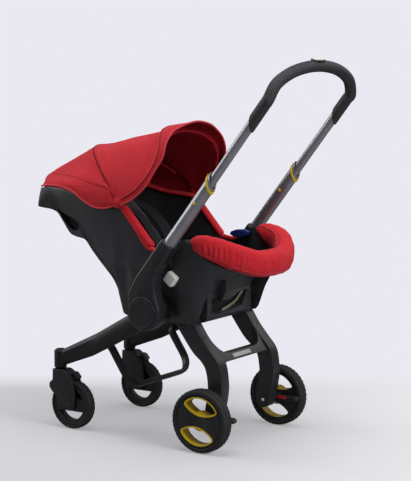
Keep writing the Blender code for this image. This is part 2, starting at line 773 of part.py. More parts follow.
def hub_cap():
    face = ARM_OUT + GAP
    return disc(HUB, [
        (face, CAP_RADIUS), (face + 0.4 * CAP_THICKNESS, CAP_RADIUS),
        (face + 0.85 * CAP_THICKNESS, CAP_RADIUS - 0.003),
        (face + CAP_THICKNESS, CAP_RADIUS - 0.010)], 28)


def slanted_band(inner, outer, first, last, first_slant, last_slant, sides=20):
    """A hollow round band on the tube's axis, between two ends that may slant."""
    rings = []
    for i in range(sides):
        turn = 2 * math.pi * i / sides
        out = ACROSS * math.cos(turn) + Vector((1, 0, 0)) * math.sin(turn)
        low = first + first_slant / 2 * math.cos(turn)
        high = last + last_slant / 2 * math.cos(turn)
        corners = ((low, inner), (low, outer), (high, outer), (high, inner))
        rings.append([along_handle(TUBE_X, distance) + out * radius for distance, radius in corners])
    return loft(rings, closed=True)


def lower_tube():
    return slanted_band(TUBE_RADIUS - TUBE_WALL, TUBE_RADIUS, TUBE_START, TUBE_END, 0.0, COLLAR_SLANT)


def snap_pin(sign, grow=0.0):
    """A pin's head on the tube's +X side, which for the right tube is its inner side."""
    middle = along_handle(sign * TUBE_X, SNAP_PIN_PLACE)
    start = TUBE_RADIUS - TUBE_WALL + 0.0008 - grow
    end = TUBE_RADIUS + SNAP_PIN_PROUD + grow
    outward = Vector((1, 0, 0))
    return rod(middle + outward * start, middle + outward * end, SNAP_PIN_RADIUS + grow, 14)


def tube_collar():
    inner = TUBE_RADIUS + GAP
    end = COLLAR_START + COLLAR_WIDTH
    return slanted_band(inner, inner + COLLAR_THICKNESS, COLLAR_START, end, COLLAR_SLANT, COLLAR_SLANT)


# Front legs and casters

LEG_LOW_LINE = ((-0.318, 0.168), (-0.215, 0.206), (-0.123, 0.252), (-0.030, 0.303))


def front_leg():
    """A beam that widens towards the hub, with an eye on the hub and a socket for the caster."""
    high_line = [(-0.318, 0.212), (-0.190, 0.273), (-0.090, 0.328), (-0.030, 0.362)]
    middle = CASTER_TRACK / 2
    sides = [
        (middle - 0.013, middle + 0.013),
        (middle - 0.010, middle + 0.016),
        (FRONT_ROOT_IN - 0.002, FRONT_ROOT_OUT - 0.001),
        (FRONT_ROOT_IN, FRONT_ROOT_OUT)]
    chamfer = 0.22
    rings = []
    for low, high, (near, far) in zip(LEG_LOW_LINE, high_line, sides):
        ring = []
        for a, b in (
                (0, chamfer), (0, 1 - chamfer), (chamfer, 1), (1 - chamfer, 1),
                (1, 1 - chamfer), (1, chamfer), (1 - chamfer, 0), (chamfer, 0)):
            back = low[0] + (high[0] - low[0]) * b
            height = low[1] + (high[1] - low[1]) * b
            ring.append(at(near + (far - near) * a, back, height))
        rings.append(ring)
    eye = slab(arc((0, HUB_HEIGHT), FRONT_EYE_RADIUS, 0, 342, 19), FRONT_ROOT_IN, FRONT_ROOT_OUT, 0.003)
    top = STEM + Vector((0, 0, SOCKET_LENGTH))
    up = Vector((0, 0, 1))
    socket = loft([
        circle(STEM, up, SOCKET_RADIUS - 0.002, 20), circle(STEM + up * 0.003, up, SOCKET_RADIUS, 20),
        circle(top - up * 0.005, up, SOCKET_RADIUS, 20), circle(top, up, SOCKET_RADIUS - 0.006, 20)])
    leg = join(loft(rings), eye, socket)
    return cut(
        leg, rod(HUB, HUB + Vector((0.3, 0, 0)), HUB_SHAFT_RADIUS + PLAY, 20),
        rod(STEM - up * 0.01, STEM + up * (STEM_LENGTH + RUN), STEM_RADIUS + PLAY, 16))


def front_hoop():
    """A flat band that runs down from one leg, across below the seat and up to the other."""
    top = at(0, HOOP_TOP_BACK, between(LEG_LOW_LINE, HOOP_TOP_BACK, 1) + HOOP_SINK)
    low = at(0, HOOP_LOW_BACK, HOOP_LOW_HEIGHT)
    down = (low - top).normalized()
    depth = (low - top).length
    half = [Vector((CASTER_TRACK / 2 - 0.0085, 0, 0)), Vector((HOOP_HALF_WIDTH + 0.006, 0, 0))]
    half += [Vector((HOOP_HALF_WIDTH + 0.0015, 0, 0)) + down * 0.004]
    half += [Vector((HOOP_HALF_WIDTH, 0, 0)) + down * 0.014]
    corner = Vector((HOOP_HALF_WIDTH - HOOP_CORNER, 0, 0)) + down * (depth - HOOP_CORNER)
    for i in range(8):
        turn = math.pi / 2 * i / 7
        out = Vector((math.cos(turn), 0, 0)) + down * math.sin(turn)
        half.append(corner + out * HOOP_CORNER)
    path = [top + p for p in half] + [top + mirrored(p, -1) for p in reversed(half)]
    flat = Vector((1, 0, 0)).cross(down)
    band = ellipse(HOOP_THICKNESS / 2, HOOP_WIDTH / 2, 8, 0.5)
    return sweep(path, lambda i: band, lambda i: flat)


def caster_fork():
    axle = (CASTER_TRAIL - CASTER_FORWARD, CASTER_RADIUS)
    crown = 2 * CASTER_RADIUS + RUN + FORK_CROWN
    stem = -CASTER_FORWARD
    outline = [(stem - 0.013, crown), (stem - 0.014, crown - 0.030), (stem - 0.025, crown - 0.040),
               (stem - 0.025, crown - 0.052), (stem - 0.015, crown - 0.064), (stem + 0.004, crown - 0.080)]
    outline += arc(axle, FORK_EYE_RADIUS, 205, 350, 10)
    outline += [(stem + 0.061, crown - 0.078), (stem + 0.060, crown - 0.045), (stem + 0.052, crown - 0.022),
                (stem + 0.030, crown - 0.004), (stem + 0.022, crown)]
    half = CASTER_WIDTH / 2 + RUN
    plates = slab(outline, STEM.x - half - FORK_PLATE, STEM.x + half + FORK_PLATE, 0.0025)
    wheel_space = disc(CASTER_AXLE, [(-half, CASTER_RADIUS + RUN), (half, CASTER_RADIUS + RUN)], 40)
    below = box(
        CASTER_AXLE + Vector((-half, -0.08, -0.08)), CASTER_AXLE + Vector((half, 0.08, 0.0)))
    stem_rod = rod(STEM + Vector((0, 0, -0.010)), STEM + Vector((0, 0, STEM_LENGTH)), STEM_RADIUS, 16)
    reach = Vector((0.04, 0, 0))
    axle_bore = rod(CASTER_AXLE - reach, CASTER_AXLE + reach, CASTER_AXLE_RADIUS + PLAY, 16)
    return cut(join(plates, stem_rod), wheel_space, below, axle_bore)


def caster_axle():
    half = CASTER_WIDTH / 2 + RUN + FORK_PLATE + 0.001
    reach = Vector((half, 0, 0))
    return rod(CASTER_AXLE - reach, CASTER_AXLE + reach, CASTER_AXLE_RADIUS, 16)


def lock_outline():
    crown = 2 * CASTER_RADIUS + RUN + FORK_CROWN
    back = -CASTER_FORWARD
    return [
        (back + 0.0415, crown - 0.0105), (back + 0.0535, crown - 0.0185), (back + 0.064, crown - 0.0235),
        (back + 0.0665, crown - 0.018), (back + 0.056, crown - 0.006), (back + 0.046, crown - 0.004)]


def caster_lock():
    return slab(lock_outline(), STEM.x - LOCK_HALF_WIDTH, STEM.x + LOCK_HALF_WIDTH, 0.001)


def wheel_ring(centre, radius, depth, width, sides):
    """A tyre: round over its tread, flat on its bore."""
    half = width / 2
    inner = radius - depth
    profile = [(-half * 0.9, inner), (-half, inner + depth * 0.5), (-half * 0.5, radius),
               (half * 0.5, radius), (half, inner + depth * 0.5), (half * 0.9, inner)]
    return turned(centre, profile, sides)


def caster_rim():
    half = CASTER_WIDTH / 2 * 0.84
    radius = CASTER_RADIUS - CASTER_TYRE_DEPTH - GAP
    rim = disc(CASTER_AXLE, [(-half, radius), (half, radius)], 32)
    for turn in (math.pi / 2, -math.pi / 2):
        rim = cut(rim, half_disc(CASTER_AXLE, CASTER_OPENING_RADIUS, CASTER_OPENING_CHORD, 0.03, turn))
    reach = Vector((0.03, 0, 0))
    return cut(rim, rod(CASTER_AXLE - reach, CASTER_AXLE + reach, CASTER_AXLE_RADIUS + PLAY, 16))


# Rear frame and wheels

def rear_leg(x):
    pivot = (REAR_PIVOT_BACK, HUB_HEIGHT + REAR_PIVOT_UP)
    axle = (REAR_AXLE_BACK, REAR_WHEEL_RADIUS)
    outline = arc(pivot, REAR_EYE_RADIUS, 60, 205, 10)
    outline += [(0.096, 0.255), (0.128, 0.226), (0.143, 0.202), (0.149, 0.155), (0.141, 0.105)]
    outline += arc(axle, REAR_FOOT_RADIUS, 175, 375, 12)
    outline += [(0.190, 0.140), (0.191, 0.175), (0.182, 0.222), (0.153, 0.257), (0.126, 0.289),
                (0.104, 0.322), (0.083, 0.354)]
    half = REAR_LEG_WIDTH / 2
    return slab(outline, x - half, x + half, 0.004)


def rear_crossbar():
    """The bar between the legs, with its fillets, leaning like the legs."""
    reach = REAR_LEG_X
    top = CROSSBAR_HEIGHT + CROSSBAR_THICKNESS / 2
    bottom = CROSSBAR_HEIGHT - CROSSBAR_THICKNESS / 2
    inner = REAR_LEG_X - REAR_LEG_WIDTH / 2
    under = [(reach, bottom - CROSSBAR_FOOT_FILLET), (inner, bottom - CROSSBAR_FOOT_FILLET)]
    for turn in (30, 60, 90):
        t = math.radians(turn)
        under.append((inner - CROSSBAR_FOOT_FILLET * (1 - math.cos(t)),
                      bottom - CROSSBAR_FOOT_FILLET * (1 - math.sin(t))))
    over = []
    for turn in (90, 72, 54, 36, 18, 0):
        t = math.radians(turn)
        over.append((inner - CROSSBAR_FILLET * (1 - math.cos(t)),
                     top + CROSSBAR_FILLET * (1 - math.sin(t))))
    over.append((reach, top + CROSSBAR_FILLET))
    outline = under + [(-x, z) for x, z in reversed(under)] + [(-x, z) for x, z in reversed(over)] + over
    rings = []
    for depth in (-CROSSBAR_DEPTH / 2, CROSSBAR_DEPTH / 2):
        rings.append([
            at(x, CROSSBAR_BACK + (z - CROSSBAR_HEIGHT) * LEG_LEAN + depth, z) for x, z in outline])
    return loft(rings)


def rear_frame():
    frame = join(rear_leg(REAR_LEG_X), rear_crossbar(), rear_leg(-REAR_LEG_X))
    for side in (1, -1):
        out = Vector((side * 0.3, 0, 0))
        foot = mirrored(REAR_AXLE, side)
        foot.x = side * (REAR_LEG_X - REAR_LEG_WIDTH / 2 + 0.006)
        frame = cut(
            frame,
            rod(REAR_PIVOT, REAR_PIVOT + out, REAR_PIVOT_RADIUS + PLAY, 16),
            rod(foot, foot + out, REAR_AXLE_RADIUS + PLAY, 16))
    return frame


def rear_pivot_pin():
    start = REAR_LEG_X - REAR_LEG_WIDTH / 2 - 0.008
    end = SEAT_HALF_WIDTH - GAP
    return rod(REAR_PIVOT + Vector((start, 0, 0)), REAR_PIVOT + Vector((end, 0, 0)), REAR_PIVOT_RADIUS, 16)


def rear_axle():
    start = REAR_AXLE.copy()
    start.x = REAR_LEG_X - REAR_LEG_WIDTH / 2 + 0.006 + GAP
    end = REAR_AXLE + Vector((REAR_BORE_END - GAP, 0, 0))
    return rod(start, end, REAR_AXLE_RADIUS, 16)


def opening(wall, low, high, which):
    """A rounded lens along X, where two circles overlap: one liner's inside, or its outside with its wall."""
    outer = REAR_OPENING_RADIUS + wall
    bulge = REAR_OPENING_BULGE + wall
    corner = REAR_OPENING_CORNER + wall
    far = REAR_OPENING_NEAREST + REAR_OPENING_BULGE
    out = (far ** 2 + (outer - corner) ** 2 - (bulge - corner) ** 2) / (2 * far)
    along = math.sqrt((outer - corner) ** 2 - out ** 2)
    outer_reach = math.atan2(along, out)
    bulge_reach = math.atan2(along, far - out)
    ring = []
    for i in range(6):
        angle = outer_reach * (1 - i / 2.5)
        ring.append((outer * math.sin(angle), outer * math.cos(angle)))
    for side, places in ((-1, (1 / 3, 2 / 3)), (1, (2 / 3, 1 / 3))):
        if side > 0:
            for i in range(4):
                angle = bulge_reach * (i / 1.5 - 1)
                ring.append((bulge * math.sin(angle), far - bulge * math.cos(angle)))
        for place in places:
            angle = outer_reach + (math.pi - bulge_reach - outer_reach) * place
            ring.append((side * (along + corner * math.sin(angle)), out + corner * math.cos(angle)))
    turn = REAR_OPENING_TURN + (which - 1) * math.pi / 2
    turned_ring = [
        (a * math.cos(turn) - b * math.sin(turn), a * math.sin(turn) + b * math.cos(turn)) for a, b in ring]
    return loft([[REAR_AXLE + Vector((x, y, z)) for y, z in turned_ring] for x in (low, high)])


def rear_rim():
    """Open through both liners; on the leg's side a thin lip covers the liners' ends."""
    half = REAR_WHEEL_WIDTH / 2 - RIM_INSET
    radius = REAR_WHEEL_RADIUS - REAR_TYRE_DEPTH - GAP
    rim = disc(REAR_AXLE, [(-half, radius), (half, radius)], 36)
    for which in (1, -1):
        rim = cut(rim, opening(0.0, -0.03, 0.03, which))
        rim = cut(rim, opening(INSERT_WALL + GAP, RIM_LIP - half, 0.03, which))
    barrel = BARREL_WIDTH / 2 + GAP
    rim = cut(rim, disc(REAR_AXLE, [(-barrel, BARREL_RADIUS + GAP), (barrel, BARREL_RADIUS + GAP)], 20))
    reach = Vector((0.03, 0, 0))
    return cut(rim, rod(REAR_AXLE - reach, REAR_AXLE + Vector((REAR_BORE_END, 0, 0)),
                        REAR_AXLE_RADIUS + PLAY, 16))


def rear_insert():
    """Two lens-shaped liners joined through the wheel by a barrel round the axle, which shows in both."""
    low = RIM_LIP + RIM_INSET + GAP - REAR_WHEEL_WIDTH / 2
    high = REAR_WHEEL_WIDTH / 2 - RIM_INSET / 2
    barrel = BARREL_WIDTH / 2
    insert = None
    for which in (1, -1):
        liner = cut(opening(INSERT_WALL, low, high, which), opening(0.0, -0.03, 0.03, which))
        insert = join(insert, liner) if insert else liner
    insert = join(insert, disc(REAR_AXLE, [(-barrel, BARREL_RADIUS), (barrel, BARREL_RADIUS)], 20))
    reach = Vector((0.03, 0, 0))
    return cut(insert, rod(REAR_AXLE - reach, REAR_AXLE + reach, REAR_AXLE_RADIUS + PLAY, 16))


def brake():
    """A pedal on the axle between the leg and the wheel, reaching backwards."""
    near = REAR_LEG_X + REAR_LEG_WIDTH / 2 + GAP * 2
    axle = (REAR_AXLE_BACK, REAR_WHEEL_RADIUS)
    outline = arc(axle, BRAKE_EYE_RADIUS, 50, 300, 14)
    outline += [
        (axle[0] + 0.020, axle[1] - BRAKE_THICKNESS), (axle[0] + BRAKE_REACH, axle[1] - 0.004),
        (axle[0] + BRAKE_REACH + 0.003, axle[1] + BRAKE_THICKNESS / 2),
        (axle[0] + BRAKE_REACH - 0.006, axle[1] + BRAKE_THICKNESS), (axle[0] + 0.020, axle[1] + 0.006)]
    pedal = slab(outline, near, near + BRAKE_WIDTH, 0.002)
    return cut(pedal, rod(REAR_AXLE - Vector((0.1, 0, 0)), REAR_AXLE, REAR_AXLE_RADIUS + PLAY, 16))


# Soft goods

def cushion(places, half_width, thickness, wing, crown):
    """A pad along a line of floor places, thin at its sides, with raised wings where it is given some."""
    rings = []
    count = len(places)
    for i, place in enumerate(places):
        ahead = (places[min(i + 1, count - 1)] - places[max(i - 1, 0)]).normalized()
        up = Vector((1, 0, 0)).cross(ahead)
        if up.z < 0:
            up = -up
        wide = half_width(i)
        end = min(i, count - 1 - i)
        full = thickness * (0.55 if end == 0 else 0.9 if end == 1 else 1.0)
        ring = []
        for share in (-0.80, 0.0, 0.80):
            ring.append(place + Vector((share * wide, 0, 0)) + up * (abs(share) ** 4 * 0.004))
        for share in (1.0, 0.86, 0.62, 0.3, 0.0, -0.3, -0.62, -0.86, -1.0):
            rise = full * (1 - 0.45 * abs(share) ** 6) + crown * (1 - share * share)
            rise += wing(i) * ease((abs(share) - 0.55) / 0.4)
            ring.append(place + Vector((share * wide, 0, 0)) + up * rise)
        rings.append(ring)
    return loft(rings)


def floor_line(first, last, count):
    backs = [first + (last - first) * i / (count - 1) for i in range(count)]
    line = [at(0, back, between(TUB_SECTIONS, back, 1)) for back in backs]
    lifted = []
    for i, place in enumerate(line):
        ahead = (line[min(i + 1, count - 1)] - line[max(i - 1, 0)]).normalized()
        lifted.append(place + Vector((0, -ahead.z, ahead.y)) * PAD_CLEARANCE)
    return lifted


BACK_PAD_SPAN = (-0.415, -0.085)
SEAT_PAD_SPAN = (-0.052, 0.195)


def back_pad():
    line = floor_line(*BACK_PAD_SPAN, 12)
    widths = [between(TUB_SECTIONS, place.y - HUB_Y, 2) - 0.010 for place in line]
    pad = cushion(
        line, lambda i: widths[i], PAD_THICKNESS,
        lambda i: 0.030 * ease(1 - abs(i - 3.5) / 4.5), 0.003)
    return boolean(pad, tub_space(PAD_CLEARANCE - 0.001), "INTERSECT")


def seat_pad():
    line = floor_line(*SEAT_PAD_SPAN, 12)
    widths = [between(TUB_SECTIONS, place.y - HUB_Y, 2) - 0.010 for place in line]
    pad = cushion(line, lambda i: widths[i], PAD_THICKNESS, lambda i: 0.0, 0.004)
    return boolean(pad, tub_space(PAD_CLEARANCE - 0.001), "INTERSECT")


def bumper_cushion():
    """A puffed horseshoe round the foot end, over the shell's rim."""
    half = [(0.158, 0.098), (0.157, 0.128), (0.153, 0.162), (0.138, 0.198), (0.104, 0.228), (0.056, 0.249)]
    points = [(x, back, 0) for x, back in half] + [(0, 0.256, 0)]
    points += [(-x, back, 0) for x, back in reversed(half)]
    curve = resample(smooth_curve(points, 6), 37)
    count = len(curve)
    path = []
    for i, place in enumerate(curve):
        side = abs(2 * i / (count - 1) - 1)
        path.append(at(place.x, place.y, 0.480 + 0.050 * ease((side - 0.15) / 0.75)))

    def section(i):
        side = abs(2 * i / (count - 1) - 1)
        end = min(1.0, math.sqrt(max(1 - side, 0.0) * 7 + 0.12))
        puff = 1 + 0.035 * math.cos(math.pi * i)
        return ellipse(0.026 * end * puff, (0.036 - 0.007 * ease((side - 0.5) / 0.5)) * end, 12, 0.8)
    return cut(sweep(path, section, lambda i: Vector((0, 0, 1))), shell_hull(0.0012))


def slimness(place):
    """The trim is slimmer under the canopy."""
    return 1 - 0.6 * ease((HUB_Y - 0.100 - place.y) / 0.030)


def rim_trim():
    """The cover's padded edge on the shell's rim, round the head end."""
    backs = [-0.017, -0.035, -0.058, -0.080, -0.100, -0.125, -0.157, -0.193, -0.240, -0.285,
             -0.320, -0.350, -0.380, -0.415, -0.432]
    half = []
    for back in backs:
        inner = between(TUB_SECTIONS, back, 3)
        outer = between(SHELL_SECTIONS, back, 3)
        under_hood = ease((-0.100 - back) / 0.030)
        middle = (inner + outer) / 2 - 0.004
        middle += (inner - 0.005 - middle) * under_hood
        half.append(at(middle, back, between(SHELL_SECTIONS, back, 2)))
    ends = [at(0.060, -0.4440, 0.645), at(0.025, -0.4480, 0.645)]
    line = half + ends + [mirrored(p, -1) for p in reversed(half + ends)]
    last = len(line) - 1
    path = []
    for i, place in enumerate(line):
        ahead = (line[min(i + 1, last)] - line[max(i - 1, 0)]).normalized()
        up = (Vector((0, 0, 1)) - ahead * ahead.z).normalized()
        path.append(place + up * (TRIM_THICKNESS / 2 * slimness(place) + 0.0015))

    def section(i):
        slim = slimness(line[i])
        return ellipse(TRIM_WIDTH / 2 * slim, TRIM_THICKNESS / 2 * slim, 8, 0.8)
    trim = sweep(path, section, lambda i: Vector((0, 0, 1)))
    return cut(trim, shell_hull(0.0010))


def band(places, half_width, thickness):
    flat = [(-half_width, -thickness / 2, 0), (half_width, -thickness / 2, 0),
            (half_width, thickness / 2, 0), (-half_width, thickness / 2, 0)]
    return sweep(places, lambda i: flat, lambda i: Vector((0, 0.3, 1)))


BUCKLE_HEIGHT = between(TUB_SECTIONS, BUCKLE_BACK, 1) + BUCKLE_RISE


def shoulder_strap():
    """From a slot in the back pad over the chest to the buckle."""
    places = [(0.045, -0.300, 0.612), (0.044, -0.255, 0.598), (0.042, -0.200, 0.572),
              (0.037, -0.150, 0.520), (0.030, BUCKLE_BACK - 0.060, BUCKLE_HEIGHT + 0.040),
              (0.022, BUCKLE_BACK - 0.0295, BUCKLE_HEIGHT + 0.012)]
    return band(resample([at(*p) for p in smooth_curve(places, 4)], 14), STRAP_HALF_WIDTH, STRAP_THICKNESS)


def buckle_outline():
    return [(BUCKLE_BACK - 0.026, BUCKLE_HEIGHT + 0.016), (BUCKLE_BACK - 0.020, BUCKLE_HEIGHT - 0.002),
            (BUCKLE_BACK + 0.022, BUCKLE_HEIGHT - 0.014), (BUCKLE_BACK + 0.026, BUCKLE_HEIGHT + 0.004)]


def buckle():
    block = slab(buckle_outline(), -0.026, 0.026, 0.003)
    return cut(join(block, crotch_strap()), buckle_button_solid(0.0005, 0.004))


def buckle_button_solid(grow=0.0, deeper=0.0):
    """A pad in the buckle's upper face."""
    low = Vector(buckle_outline()[0])
    high = Vector(buckle_outline()[3])
    along = (high - low).normalized()
    out = Vector((-along.y, along.x))
    middle = (low + high) / 2
    corners = []
    for a, b in ((-0.014 - grow, -0.003 - deeper), (0.014 + grow, -0.003 - deeper),
                 (0.014 + grow, 0.0025 + 2 * deeper), (-0.014 - grow, 0.0025 + 2 * deeper)):
        corners.append(tuple(middle + along * a + out * b))
    return slab(corners, -0.012 - grow, 0.012 + grow)


def crotch_strap():
    """The strap that holds the buckle down to the seat."""
    top = BUCKLE_HEIGHT - 0.002
    end = between(TUB_SECTIONS, BUCKLE_BACK + 0.037, 1) + PAD_CLEARANCE + PAD_THICKNESS + CROTCH_STRAP_RISE
    places = [(0, BUCKLE_BACK + 0.015, top), (0, BUCKLE_BACK + 0.029, 0.36 * top + 0.64 * end),
              (0, BUCKLE_BACK + 0.037, end)]
    return band([at(*p) for p in places], 0.014, STRAP_THICKNESS)


def belt_guide():
    """A flat hook on the rim that keeps a vehicle's belt down."""
    outline = [(0.030, 0.5235), (0.044, 0.5165), (0.070, 0.516), (0.090, 0.524), (0.093, 0.534),
               (0.076, 0.539), (0.050, 0.537), (0.034, 0.531)]
    wall = tub_wall(GUIDE_BACK, GUIDE_HEIGHT) - GUIDE_GAP
    return slab(outline, wall - GUIDE_WIDTH, wall, 0.002)


# Canopy: its cross lines are given for the left half, from the ridge outwards

HEM = ((0, -0.470, 0.650), (0.055, -0.464, 0.646), (0.100, -0.443, 0.648), (0.130, -0.408, 0.654),
       (0.148, -0.372, 0.660), (0.160, -0.330, 0.662), (0.168, -0.292, 0.6575),
       (0.1735, -0.260, 0.6475), (0.1775, -0.233, 0.632), (0.180, -0.195, 0.615),
       (0.181, -0.156, 0.612), (0.181, -0.125, 0.620))
CROWN_SEAM = ((0, -0.456, 0.682), (0.040, -0.443, 0.683), (0.080, -0.390, 0.685),
              (0.120, -0.329, 0.6875), (0.150, -0.2717, 0.6847), (0.165, -0.2233, 0.677),
              (0.173, -0.181, 0.669), (0.1785, -0.1387, 0.6617), (0.181, -0.1235, 0.634))
MID_BOW = ((0, -0.3000, 0.7655), (0.070, -0.2720, 0.758), (0.120, -0.2260, 0.732),
           (0.155, -0.1780, 0.698), (0.172, -0.1420, 0.667), (0.181, -0.1180, 0.641))
FRONT_SEAM = ((0, -0.075, 0.811), (0.050, -0.064, 0.808), (0.100, -0.035, 0.796),
              (0.128, -0.0165, 0.775), (0.147, -0.012, 0.750), (0.166, -0.0208, 0.714),
              (0.1795, -0.052, 0.671), (0.1815, -0.106, 0.637))
FRONT_EDGE = ((0, 0.018, 0.838), (0.060, 0.015, 0.830), (0.103, 0.0105, 0.814), (0.136, 0.0125, 0.786),
              (0.1505, 0.0115, 0.750), (0.161, -0.008, 0.7145), (0.173, -0.027, 0.6765),
              (0.180, -0.060, 0.6446), (0.1825, -0.100, 0.6235))
LIP_PLACE = 0.22            # from the front seam to the edge
LIP_PROUD = 0.009           # at the ridge
CANOPY_COLUMNS = 21


def cross_line(half):
    """A line right across the canopy."""
    full = [Vector(p) for p in reversed(half)] + [Vector((-p[0], p[1], p[2])) for p in half[1:]]
    return resample(smooth_curve(full, 5), CANOPY_COLUMNS)


def lip_line():
    """The front panel stands proud of the middle one, most of all on its ridge."""
    line = []
    for seam, edge in zip(cross_line(FRONT_SEAM), cross_line(FRONT_EDGE)):
        across = (edge - seam).normalized()
        proud = Vector((0, -across.z, across.y)) * LIP_PROUD * ease((seam.z - 0.68) / 0.10)
        line.append(seam.lerp(edge, LIP_PLACE) + proud)
    return line


def fabric(lines, rows_between, first_gap):
    """A closed sheet through cross lines."""
    columns = []
    for k in range(CANOPY_COLUMNS):
        if len(lines) > 2:
            column = smooth_curve([line[k] for line in lines], rows_between)
        else:
            column = [lines[0][k].lerp(lines[1][k], r / rows_between) for r in range(rows_between + 1)]
        length = (column[1] - column[0]).length
        column[0] = column[0].lerp(column[1], first_gap / length)
        length = (column[-2] - column[-1]).length
        column[-1] = column[-1].lerp(column[-2], SEAM_GAP / length)
        columns.append(column)
    rows = len(columns[0])
    rings = []
    for r in range(rows):
        outer = []
        inner = []
        for k in range(CANOPY_COLUMNS):
            here = columns[k][r]
            across = columns[min(k + 1, CANOPY_COLUMNS - 1)][r] - columns[max(k - 1, 0)][r]
            ahead = columns[k][min(r + 1, rows - 1)] - columns[k][max(r - 1, 0)]
            normal = across.cross(ahead).normalized()
            centre = Vector((0, CANOPY_PIVOT_BACK, 0.60))
            if normal.dot(here - centre) < 0:
                normal = -normal
            outer.append(at(*here))
            inner.append(at(*(here - normal * CANOPY_THICKNESS)))
        rings.append(outer + inner[::-1])
    return loft(rings)


def bow(line, share, drop):
    centre = Vector((0, CANOPY_PIVOT_BACK, 0.60))
    line = [p - (p - centre).normalized() * drop for p in line]
    keep = line[share:len(line) - share]
    path = [at(*p) for p in keep]
    ring = ellipse(BOW_RADIUS, BOW_RADIUS, 8)
    return sweep(path, lambda i: ring, lambda i: Vector((0, 1, 0.2)))


